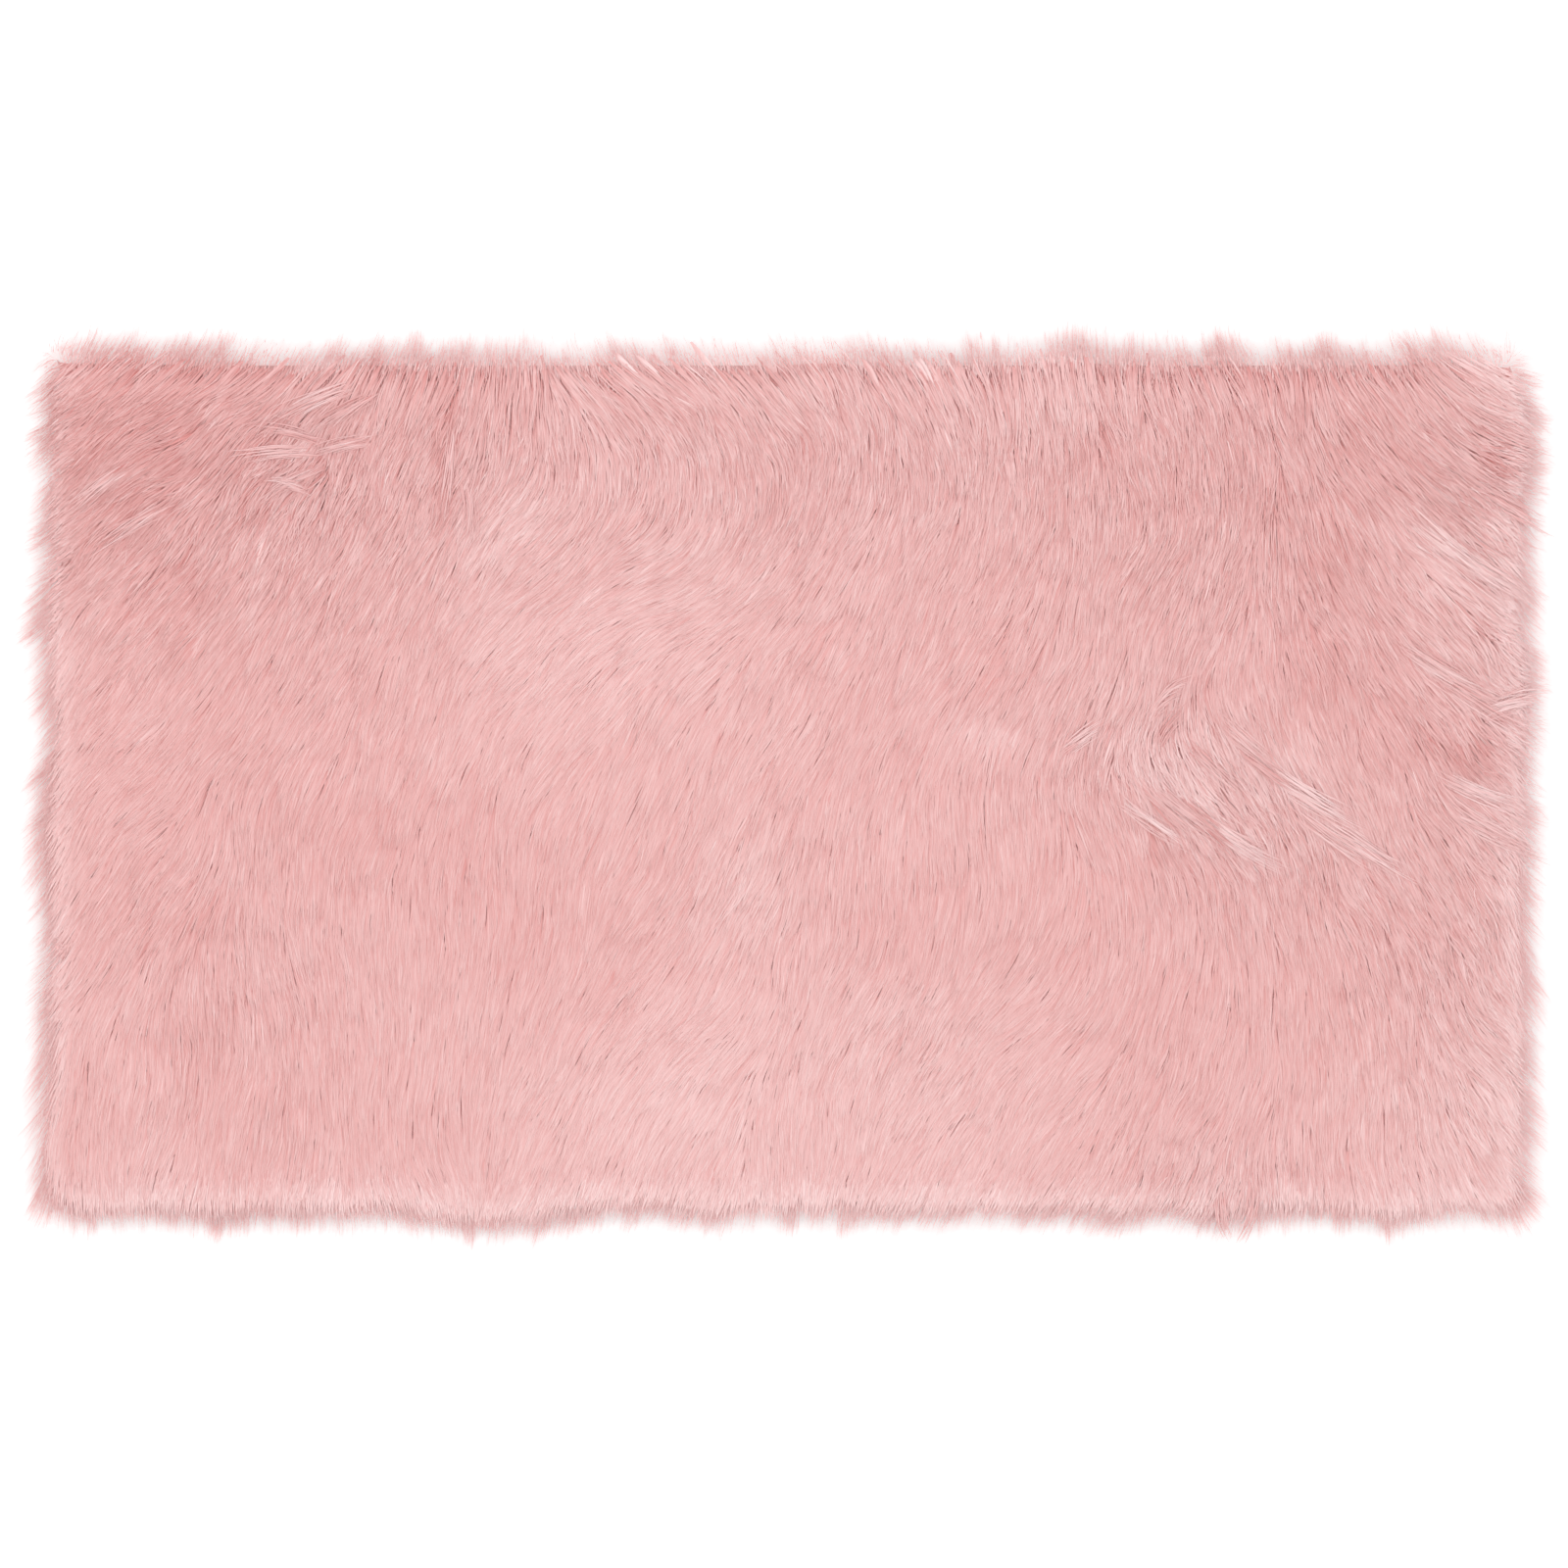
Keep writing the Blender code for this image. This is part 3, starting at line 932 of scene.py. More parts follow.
def pile_colour_effect() -> bpy.types.NodeTree:
    """Make the pile's colour: deeper at the root, paler at the tip, a little different lock by lock, with
    painted shade towards each lock's edges and the painted light and shade that its tone carries.
    """
    sheet, given, out = new_effect(
        "pile_colour",
        {
            "Root": (Socket.COLOUR, (0.6, 0.2, 0.2, 1.0)),
            "Body": (Socket.COLOUR, (0.8, 0.5, 0.5, 1.0)),
            "Tip": (Socket.COLOUR, (0.9, 0.7, 0.7, 1.0)),
            "Along": (Socket.VALUE, 0.0),
            "Across": (Socket.VALUE, 0.0),
            "Tone": (Socket.VALUE, 0.5),
            "Grain": (Socket.VALUE, 0.5),
        },
        {"Colour": Socket.COLOUR},
    )
    root_until, tip_from, tip_share = 0.50, 0.55, 0.8
    tone_to_value, tone_to_saturation, grain_to_value, edge_shade_to_value = 0.33, -0.75, 0.06, -0.03
    rooted = sheet.ramp(given.outputs["Along"], 0.0, root_until, 1.0, 0.0)
    tipped = sheet.ramp(given.outputs["Along"], tip_from, 1.0, 0.0, tip_share)
    colour = sheet.mix(rooted, given.outputs["Body"], given.outputs["Root"])
    colour = sheet.mix(tipped, colour, given.outputs["Tip"])
    # The tone carries the pile's own tone and the painted light and shade worked out in Toning.
    tone = sheet.math("SUBTRACT", given.outputs["Tone"], 0.5)
    grain = sheet.math("SUBTRACT", given.outputs["Grain"], 0.5)
    # Painted shade: each lock is darker towards its edges.
    edge = sheet.math("POWER", sheet.math("ABSOLUTE", given.outputs["Across"]), 2.0)
    value = sheet.math("MULTIPLY_ADD", tone, tone_to_value, 1.0)
    value = sheet.math("MULTIPLY_ADD", grain, grain_to_value, value)
    value = sheet.math("MULTIPLY_ADD", edge, edge_shade_to_value, value)
    shade = sheet.add("ShaderNodeHueSaturation")
    sheet.feed(shade.inputs["Saturation"], sheet.math("MULTIPLY_ADD", tone, tone_to_saturation, 1.0))
    sheet.feed(shade.inputs["Value"], value)
    sheet.feed(shade.inputs["Color"], colour)
    sheet.feed(out.inputs["Colour"], shade.outputs[0])
    return sheet.tree


def attribute(sheet: NodeSheet, name: str) -> bpy.types.NodeSocket:
    """Read one of a piece's own attributes."""
    return sheet.add("ShaderNodeAttribute", attribute_name=name).outputs["Fac"]


def new_material(name: str) -> tuple[bpy.types.Material, NodeSheet, bpy.types.Node]:
    """Start a material, and give its sheet and its shader."""
    material = bpy.data.materials.new(name)
    material.use_nodes = True
    sheet = NodeSheet(material.node_tree)
    return material, sheet, material.node_tree.nodes["Principled BSDF"]


@dataclass(frozen=True)
class PileFinish:
    """Soft pink fibre: matt, with a little bloom where it is seen from the side."""

    root: Colour = (0.836, 0.405, 0.391, 1.0)
    body: Colour = (0.882, 0.484, 0.471, 1.0)
    tip: Colour = (0.902, 0.548, 0.534, 1.0)
    roughness: float = 0.62
    sheen: float = 0.25
    specular: float = 0.30
    hairs: float = 2.5
    relief: float = 0.0003
    relief_strength: float = 0.5

    def dress(self, name: str, colour: bpy.types.NodeTree, grain: bpy.types.NodeTree) -> bpy.types.Material:
        """Make the material.

        Args:
            name: Its name.
            colour: The shared pile colour effect.
            grain: The shared fibre grain effect.

        Returns:
            The material.
        """
        material, sheet, shader = new_material(name)
        along, across = attribute(sheet, "along"), attribute(sheet, "across")
        fine = sheet.add("ShaderNodeGroup", node_tree=grain)
        sheet.feed(fine.inputs["Along"], along)
        sheet.feed(fine.inputs["Across"], across)
        sheet.feed(fine.inputs["Lot"], attribute(sheet, "lot"))
        sheet.feed(fine.inputs["Hairs"], self.hairs)
        tint = sheet.add("ShaderNodeGroup", node_tree=colour)
        for label, value in (
            ("Root", self.root), ("Body", self.body), ("Tip", self.tip), ("Along", along),
            ("Across", across), ("Tone", attribute(sheet, "tone")), ("Grain", fine.outputs["Mask"]),
        ):
            sheet.feed(tint.inputs[label], value)
        sheet.feed(shader.inputs["Base Color"], tint.outputs["Colour"])
        bump = sheet.add("ShaderNodeBump")
        bump.inputs["Distance"].default_value = self.relief
        bump.inputs["Strength"].default_value = self.relief_strength
        sheet.feed(bump.inputs["Height"], fine.outputs["Height"])
        sheet.feed(shader.inputs["Normal"], bump.outputs[0])
        shader.inputs["Roughness"].default_value = self.roughness
        shader.inputs["Sheen Weight"].default_value = self.sheen
        shader.inputs["Specular IOR Level"].default_value = self.specular
        return material


@dataclass(frozen=True)
class ClothFinish:
    """The knitted ground's underside: dyed cotton with fine ribs and soft mottling.

    rib is the ribs' spacing and unit_rib the spacing that the wave has at a scale of 1.
    """

    light: Colour = (0.780, 0.520, 0.500, 1.0)
    dark: Colour = (0.640, 0.370, 0.360, 1.0)
    rib: float = 0.0035
    unit_rib: float = 0.314
    rib_share: float = 0.4
    relief: float = 0.0006
    mottling: float = 55.0
    roughness: float = 0.9

    def dress(self, name: str) -> bpy.types.Material:
        """Make the material, on the piece's own coordinates."""
        material, sheet, shader = new_material(name)
        place = sheet.add("ShaderNodeTexCoord").outputs["Object"]
        ribs = sheet.add("ShaderNodeTexWave", wave_type="BANDS", bands_direction="X")
        sheet.feed(ribs.inputs["Vector"], place)
        ribs.inputs["Scale"].default_value = self.unit_rib / self.rib
        ribs.inputs["Distortion"].default_value = 0.6
        mottle = sheet.add("ShaderNodeTexNoise")
        sheet.feed(mottle.inputs["Vector"], place)
        mottle.inputs["Scale"].default_value = self.mottling
        mottle.inputs["Detail"].default_value = 4.0
        mottled = sheet.math("MULTIPLY", mottle.outputs[0], 1.0 - self.rib_share)
        share = sheet.math("MULTIPLY_ADD", ribs.outputs["Fac"], self.rib_share, mottled)
        sheet.feed(shader.inputs["Base Color"], sheet.mix(share, self.dark, self.light))
        bump = sheet.add("ShaderNodeBump")
        bump.inputs["Distance"].default_value = self.relief
        sheet.feed(bump.inputs["Height"], ribs.outputs["Fac"])
        sheet.feed(shader.inputs["Normal"], bump.outputs[0])
        shader.inputs["Roughness"].default_value = self.roughness
        return material


@dataclass(frozen=True)
class UnderfurFinish:
    """Dense short down between the locks: deep warm pink, streaked along the rug's main lay.

    side is the colour low on the rim, which gives way to the others between the side heights.
    """

    deep: Colour = (0.860, 0.420, 0.408, 1.0)
    warm: Colour = (0.900, 0.500, 0.484, 1.0)
    side: Colour = (0.780, 0.480, 0.466, 1.0)
    side_height: tuple[float, float] = (0.008, 0.019)
    streaks: tuple[float, float, float] = (45.0, 420.0, 120.0)
    relief: float = 0.002
    roughness: float = 0.95

    def dress(self, name: str) -> bpy.types.Material:
        """Make the material, on the piece's own coordinates."""
        material, sheet, shader = new_material(name)
        turned = sheet.add("ShaderNodeMapping")
        place = sheet.add("ShaderNodeTexCoord").outputs["Object"]
        sheet.feed(turned.inputs["Vector"], place)
        turned.inputs["Rotation"].default_value = (0.0, 0.0, math.radians(-MAIN_HEADING))
        turned.inputs["Scale"].default_value = self.streaks
        streak = sheet.add("ShaderNodeTexNoise")
        sheet.feed(streak.inputs["Vector"], turned.outputs[0])
        streak.inputs["Scale"].default_value = 1.0
        streak.inputs["Detail"].default_value = 3.0
        share = sheet.ramp(streak.outputs[0], 0.3, 0.7)
        apart = sheet.add("ShaderNodeSeparateXYZ")
        sheet.feed(apart.inputs[0], place)
        top = sheet.ramp(apart.outputs["Z"], *self.side_height)
        streaked = sheet.mix(share, self.deep, self.warm)
        sheet.feed(shader.inputs["Base Color"], sheet.mix(top, self.side, streaked))
        bump = sheet.add("ShaderNodeBump")
        bump.inputs["Distance"].default_value = self.relief
        sheet.feed(bump.inputs["Height"], streak.outputs[0])
        sheet.feed(shader.inputs["Normal"], bump.outputs[0])
        shader.inputs["Roughness"].default_value = self.roughness
        return material


@dataclass
class Ribbons:
    """Many ribbons as arrays, ready to become meshes.

    TAPER is how wide a ribbon is against its widest, from its root on; its tip is a point. LEAST_HEIGHT is
    the lowest that a corner may lie. STRIP is the half width, the start and the length of a ribbon's strip
    in its own cell of the map, and CELL_SHAPE how many times as tall as wide the cells are.
    """

    points: np.ndarray
    half_width: np.ndarray
    tone: np.ndarray
    lot: np.ndarray
    shape: LockShape
    rng: np.random.Generator

    TAPER = (0.40, 0.95, 1.00, 0.82, 0.55)
    LEAST_HEIGHT = 0.0004
    STRIP = (0.40, 0.04, 0.92)
    CELL_SHAPE = 5.0

    def taper(self) -> np.ndarray:
        """How wide a ribbon is at each of its steps, against its widest."""
        steps = self.shape.steps
        return np.interp(np.arange(steps) / steps, np.linspace(0.0, 0.8, len(self.TAPER)), self.TAPER)

    def mesh(self, name: str, chosen: np.ndarray) -> bpy.types.Mesh:
        """Make one mesh of some of the ribbons.

        Args:
            name: The mesh's name.
            chosen: Which ribbons go into it.

        Returns:
            The mesh, with its normals, its attributes and its map.
        """
        points = self.points[chosen]
        count, steps = len(points), self.shape.steps
        tangent = unit(np.gradient(points, axis=1))
        level = unit(np.cross(tangent, np.array([0.0, 0.0, 1.0])))
        above = np.cross(level, tangent)
        roll = np.radians(self.rng.normal(0.0, self.shape.roll, count))[:, None, None]
        side = np.cos(roll) * level + np.sin(roll) * above
        face = np.cross(side, tangent)
        face = unit(face + self.shape.uplift * np.array([0.0, 0.0, 1.0]))
        width = (self.half_width[chosen][:, None] * self.taper()[None, :])[..., None]
        body = points[:, :-1]
        fan = math.radians(self.shape.fan)
        corners = np.empty((count, 2 * steps + 1, 3))
        normals = np.empty_like(corners)
        corners[:, 0:-1:2] = body - side[:, :-1] * width
        corners[:, 1:-1:2] = body + side[:, :-1] * width
        corners[:, -1] = points[:, -1]
        normals[:, 0:-1:2] = math.cos(fan) * face[:, :-1] - math.sin(fan) * side[:, :-1]
        normals[:, 1:-1:2] = math.cos(fan) * face[:, :-1] + math.sin(fan) * side[:, :-1]
        normals[:, -1] = face[:, -1]
        corners[..., 2] = np.maximum(corners[..., 2], self.LEAST_HEIGHT)
        return self.filled(name, corners, normals, self.tone[chosen], self.lot[chosen])

    def filled(self, name: str, corners: np.ndarray, normals: np.ndarray, tone: np.ndarray,
               lot: np.ndarray) -> bpy.types.Mesh:
        """Fill a mesh with ribbons.

        Args:
            name: The mesh's name.
            corners: Each ribbon's corners: left and right by turns, then the tip.
            normals: The normal at each corner.
            tone: Each ribbon's tone.
            lot: A number that tells each ribbon's grain apart.

        Returns:
            The mesh.
        """
        count, each = corners.shape[:2]
        steps = self.shape.steps
        first = (np.arange(count) * each)[:, None]
        ladder = np.arange(steps - 1)[:, None] * 2 + np.array([0, 1, 3, 2])
        quads = (first[:, :, None] + ladder[None]).reshape(-1)
        tips = (first + np.array([each - 3, each - 2, each - 1])).reshape(-1)
        quad_count = count * (steps - 1)
        indices = np.concatenate([quads, tips]).astype(np.int32)
        starts = np.concatenate([
            np.arange(quad_count) * 4, quad_count * 4 + np.arange(count) * 3
        ]).astype(np.int32)
        mesh = bpy.data.meshes.new(name)
        mesh.vertices.add(count * each)
        mesh.vertices.foreach_set("co", corners.astype(np.float32).ravel())
        mesh.loops.add(len(indices))
        mesh.loops.foreach_set("vertex_index", indices)
        mesh.polygons.add(len(starts))
        mesh.polygons.foreach_set("loop_start", starts)
        mesh.polygons.foreach_set("use_smooth", np.ones(len(starts), dtype=bool))
        mesh.update(calc_edges=True)
        along = np.append(np.repeat(np.arange(steps) / steps, 2), 1.0)
        across = np.append(np.tile([-1.0, 1.0], steps), 0.0)
        for label, values in (
            ("along", np.tile(along, count)), ("across", np.tile(across, count)),
            ("tone", np.repeat(tone, each)), ("lot", np.repeat(lot, each)),
        ):
            layer = mesh.attributes.new(label, "FLOAT", "POINT")
            layer.data.foreach_set("value", values.astype(np.float32))
        self.map(mesh, count, along, across, indices)
        mesh.normals_split_custom_set_from_vertices(normals.reshape(-1, 3).astype(np.float32))
        return mesh

    def map(self, mesh: bpy.types.Mesh, count: int, along: np.ndarray, across: np.ndarray,
            indices: np.ndarray) -> None:
        """Give each ribbon an upright strip of its own in the map named OFBake.

        Args:
            mesh: The mesh.
            count: How many ribbons it holds.
            along: How far along its ribbon each corner is, from 0 to 1.
            across: Which side of it each corner is on, -1 or 1, with 0 for the tip.
            indices: Which corner each corner of a face is.
        """
        half_width, start, length = self.STRIP
        rows = max(1, round(math.sqrt(count / self.CELL_SHAPE)))
        columns = math.ceil(count / rows)
        number = np.arange(count)
        u = (number % columns)[:, None] + 0.5 + half_width * across[None, :]
        v = (number // columns)[:, None] + start + length * along[None, :]
        spots = np.stack([u.ravel() / columns, v.ravel() / rows], axis=-1)
        layer = mesh.uv_layers.new(name="OFBake")
        layer.data.foreach_set("uv", spots[indices].astype(np.float32).ravel())


@dataclass(frozen=True)
class Loft:
    """How deep the locks are rooted and how high their tips stand, by how ruffled the pile is."""

    gain: float = 1.45
    level: float = 0.31
    least: float = 0.08
    most: float = 1.8

    def at(self, ruffle: np.ndarray) -> np.ndarray:
        """Give the share of a lock's full loft."""
        return np.clip(self.gain * ruffle - self.level, self.least, self.most)


@dataclass(frozen=True)
class Toning:
    """What makes a lock paler, in tones of which 0.5 is the usual one: apart from the mottle, this is
    painted light and shade.

    lean_shading, mottle, ruffled and parted are how much the patches of painted light and shade, a soft
    mottling of the pile's own tone, ruffled pile and a parting count; ruffled pile and a parting are painted
    paler, as painted light against the shade of their deeper pile.
    rim is painted light against the shade where the pile slopes down, felt up to rim_depth in from the
    outline. fallen is painted light against the shade where the pile falls over the rim, and fades between
    the two fall_depths; fallen_at_rim is the same for the rim's own locks.
    """

    usual: float = 0.5
    lean_shading: float = 0.36
    mottle: float = 0.05
    mottle_size: float = 0.09
    ruffled: float = 0.25
    parted: float = 0.12
    rim: float = 0.12
    rim_depth: float = 0.050
    fallen: float = 0.62
    fallen_at_rim: float = 0.14
    fall_depths: tuple[float, float] = (0.030, 0.050)

    def at(self, form: RugForm, lay: CombedLay, roots: np.ndarray, shown: np.ndarray) -> np.ndarray:
        """Work out how much paler each lock is than the usual one, mostly as painted light and shade.

        Args:
            form: The rug's form.
            lay: The combed lay.
            roots: Where the locks are rooted.
            shown: Where each shows most.

        Returns:
            What to add to each lock's tone.
        """
        inset = form.inset.at(shown)
        drawn = habit_at(form.outward.at(shown), "rim_drawn") ** 1.5
        fallen = self.fallen_at_rim if lay.at_rim else self.fallen
        # Painted light and shade from the patches, the ruffled pile, the rim, the fall over the rim and the
        # parting; the mottle is the pile's own tone.
        return (
            self.lean_shading * sum(patch.felt(shown) for patch in PAINTED_LIGHT_AND_SHADE)
            + self.mottle * noise(self.mottle_size, SEED + 5).at(shown, eased=True)
            + self.ruffled * (lay.ruffle.at(shown) - CALM)
            + self.rim * nearing(inset, 0.0, self.rim_depth)
            + fallen * drawn * nearing(inset, *self.fall_depths)
            + self.parted * lay.parting.at(roots)
        )


@dataclass
class Coat:
    """One coat of the pile: locks or hairs of one kind, spread over the rug or along its rim.

    band is how far in from the hem the roots stand. overhang is where the tips end, against the rim's
    line and in shares of its flare: their middle and their spread. lobes is how far long swells of the rim
    move that. A lock's height is the solid's a little further out, which draws the coat in from the rim:
    by shrink, and at the rim by droop more, within the droop_depths. sink is how far the coat lies below
    the rest of the pile, and stretch the most that a lock may grow by to reach the rim. stray is how far a
    lock may stray over the edge of the lay's band, by the first of its shares everywhere and by the second
    as well where the pile is drawn outwards.
    """

    name: str
    shape: LockShape
    spacing: float
    seed: int
    tufts: tuple[Tufts, ...]
    band: tuple[float, float] = (0.0, 1.0)
    overhang: tuple[float, float] = (-1.1, 0.25)
    shrink: float = 0.009
    stretch: float = 1.0
    at_rim: bool = False
    panels: int = 1
    tone_spread: float = 0.15
    tone_calm: float = 0.3
    tone_offset: float = 0.0
    lobes: float = 0.5
    lobe_size: float = 0.030
    tuft_reach: float = 0.6
    own_reach: float = 0.75
    stray: float = 0.004
    stray_shares: tuple[float, float] = (0.6, 1.6)
    sink: float = 0.0
    droop: float = 0.003
    droop_depths: tuple[float, float] = (0.010, 0.034)
    parted_depth: float = 0.25
    least_height: float = 0.0012
    loft: Loft = Loft()
    toning: Toning = Toning()

    def roots(self, form: RugForm, rng: np.random.Generator) -> np.ndarray:
        """Scatter the roots over the ground, one to a cell of a loose grid.

        Args:
            form: The rug's form.
            rng: The coat's own random numbers.

        Returns:
            The X and Y of each root.
        """
        low, high = (CAD_BOX[0][0], CAD_BOX[0][1]), (CAD_BOX[1][0], CAD_BOX[1][1])
        places = Grid.places(low, high, self.spacing).reshape(-1, 2)
        places = places + rng.uniform(-0.5, 0.5, places.shape) * self.spacing
        outward = form.outward.at(places)
        behind = form.inset.at(places) - habit_at(outward, "hem")
        behind += rng.normal(0.0, 1.0, len(places)) * habit_at(outward, "fray")
        return places[(behind > self.band[0]) & (behind < self.band[1])]

    def strays(self, form: RugForm, points: np.ndarray) -> np.ndarray:
        """Work out how far locks may stray over the edge of the lay's band at each point."""
        always, drawn = self.stray_shares
        return self.stray * (always + drawn * habit_at(form.outward.at(points), "drawn"))

    def paths(self, form: RugForm, lay: CombedLay, roots: np.ndarray,
              rng: np.random.Generator) -> np.ndarray:
        """Lay every lock over and draw it towards its tufts.

        Args:
            form: The rug's form.
            lay: The combed lay.
            roots: Where the locks are rooted.
            rng: The coat's own random numbers.

        Returns:
            The points of every lock, root first.
        """
        shape, count = self.shape, len(roots)
        length = shape.lengths(rng, count, shape.length)
        ruffle = lay.ruffle.at(roots)
        turn = np.radians(rng.normal(0.0, shape.turn, count)) * ruffle
        bend = np.radians(rng.normal(0.0, shape.bend, count)) * ruffle
        share = np.linspace(0.0, 1.0, shape.steps + 1)
        outward = form.outward.at(roots)
        flare, line = habit_at(outward, "flare"), habit_at(outward, "line")
        middle, spread = self.overhang[0] * flare, self.overhang[1] * flare
        reach = middle - line + self.lobes * flare * noise(self.lobe_size, SEED + 44).at(roots, eased=True)
        loft = self.loft.at(ruffle)
        lift = shape.tip_lift * loft + rng.normal(0.0, shape.lift_spread, count) * ruffle
        homes = [tuft.nearest(roots) for tuft in self.tufts]
        stray = self.strays(form, roots)
        drift = stray * rng.normal(0.0, 1.0, count)
        for tuft, mine in zip(self.tufts, homes):
            drift += stray * tuft.chance(Chance.DRIFT)[mine]
            reach += self.tuft_reach * spread * tuft.chance(Chance.REACH)[mine]
            lift += tuft.heave * tuft.chance(Chance.HEAVE)[mine] * ruffle
        flat = lay.follow(roots, length, shape.steps, turn, bend, drift)
        for tuft, mine in zip(self.tufts, homes):
            guides = tuft.guides(lay, shape, self.strays(form, tuft.flat()))
            flat = flat + (guides[mine] - flat) * tuft.pulls(ruffle, share)[..., None]
        reach = np.minimum(reach + spread * rng.normal(0.0, self.own_reach, count), OVERHANG_LIMIT)
        flat = self.kept_in(form, flat, reach, self.stretch)
        hung = self.shrink + self.droop * nearing(form.inset.at(flat), *self.droop_depths)
        canopy = form.height.at(flat + form.outward.at(flat) * hung[..., None])
        parted = 1.0 - (1.0 - self.parted_depth) * lay.parting.at(roots)
        sunk = (shape.root_depth * loft * parted)[:, None] * (1.0 - share) ** 1.5
        height = canopy - self.sink - sunk + lift[:, None] * share[None, :]
        return np.concatenate([flat, np.maximum(height, self.least_height)[..., None]], axis=-1)

    @staticmethod
    def kept_in(form: RugForm, flat: np.ndarray, reach: np.ndarray, stretch: float) -> np.ndarray:
        """Shorten each path that would hang further out than it reaches, and stretch one that falls short.

        Args:
            form: The rug's form.
            flat: The X and Y of each path's points.
            reach: How far out of the outline each tip may hang, negative for inside it.
            stretch: The most that a path may grow by, 1 for not at all.

        Returns:
            The X and Y of each path's points, with the roots where they were.
        """
        clearly_outwards, shortest = 0.004, 0.12
        for most in (stretch, 1.0):
            root, tip = form.inset.at(flat[:, 0]), form.inset.at(flat[:, -1])
            room = (root + reach) / np.maximum(root - tip, 1e-5)
            outbound = root - tip > clearly_outwards
            share = np.where(outbound, np.clip(room, shortest, most), 1.0)
            flat = flat[:, :1] + (flat - flat[:, :1]) * share[:, None, None]
        return flat

    def tones(self, form: RugForm, lay: CombedLay, roots: np.ndarray, shown: np.ndarray,
              rng: np.random.Generator) -> np.ndarray:
        """Give each lock its tone, 0.5 being the usual one.

        Args:
            form: The rug's form.
            lay: The combed lay.
            roots: Where the locks are rooted.
            shown: Where each shows most, near its tip.
            rng: The coat's own random numbers.

        Returns:
            One tone for each lock.
        """
        stirred = self.tone_calm + (1.0 - self.tone_calm) * lay.ruffle.at(roots)
        spread = stirred * self.tone_spread
        tone = self.toning.usual + self.tone_offset + rng.normal(0.0, 1.0, len(roots)) * spread
        for tuft in self.tufts:
            tone += tuft.tint * tuft.chance(Chance.TINT)[tuft.nearest(roots)] * spread
        tone += self.toning.at(form, lay, roots, shown)
        return np.clip(tone, 0.0, 1.0)

    def build(self, form: RugForm, lay: CombedLay, finish: bpy.types.Material) -> list[bpy.types.Object]:
        """Grow the coat.

        Args:
            form: The rug's form.
            lay: The combed lay.
            finish: The coat's material.

        Returns:
            Its pieces, one to each panel from left to right.
        """
        rng = np.random.default_rng(self.seed)
        roots = self.roots(form, rng)
        points = self.paths(form, lay, roots, rng)
        count = len(roots)
        width = self.shape.half_widths(rng, count)
        tones = self.tones(form, lay, roots, points[:, -2, :2], rng)
        lots = rng.uniform(0.0, 1.0, count)
        ribbons = Ribbons(points, width, tones, lots, self.shape, rng)
        pieces = []
        for number, chosen in enumerate(np.array_split(np.argsort(roots[:, 0]), self.panels)):
            name = self.name if self.panels == 1 else f"{self.name}_{number + 1}"
            mesh = ribbons.mesh(name, chosen)
            mesh.materials.append(finish)
            piece = bpy.data.objects.new(name, mesh)
            bpy.context.scene.collection.objects.link(piece)
            triangles = len(chosen) * (2 * self.shape.steps - 1)
            LOG.info("%s: %d locks, %d triangles", name, len(chosen), triangles)
            pieces.append(piece)
        return pieces


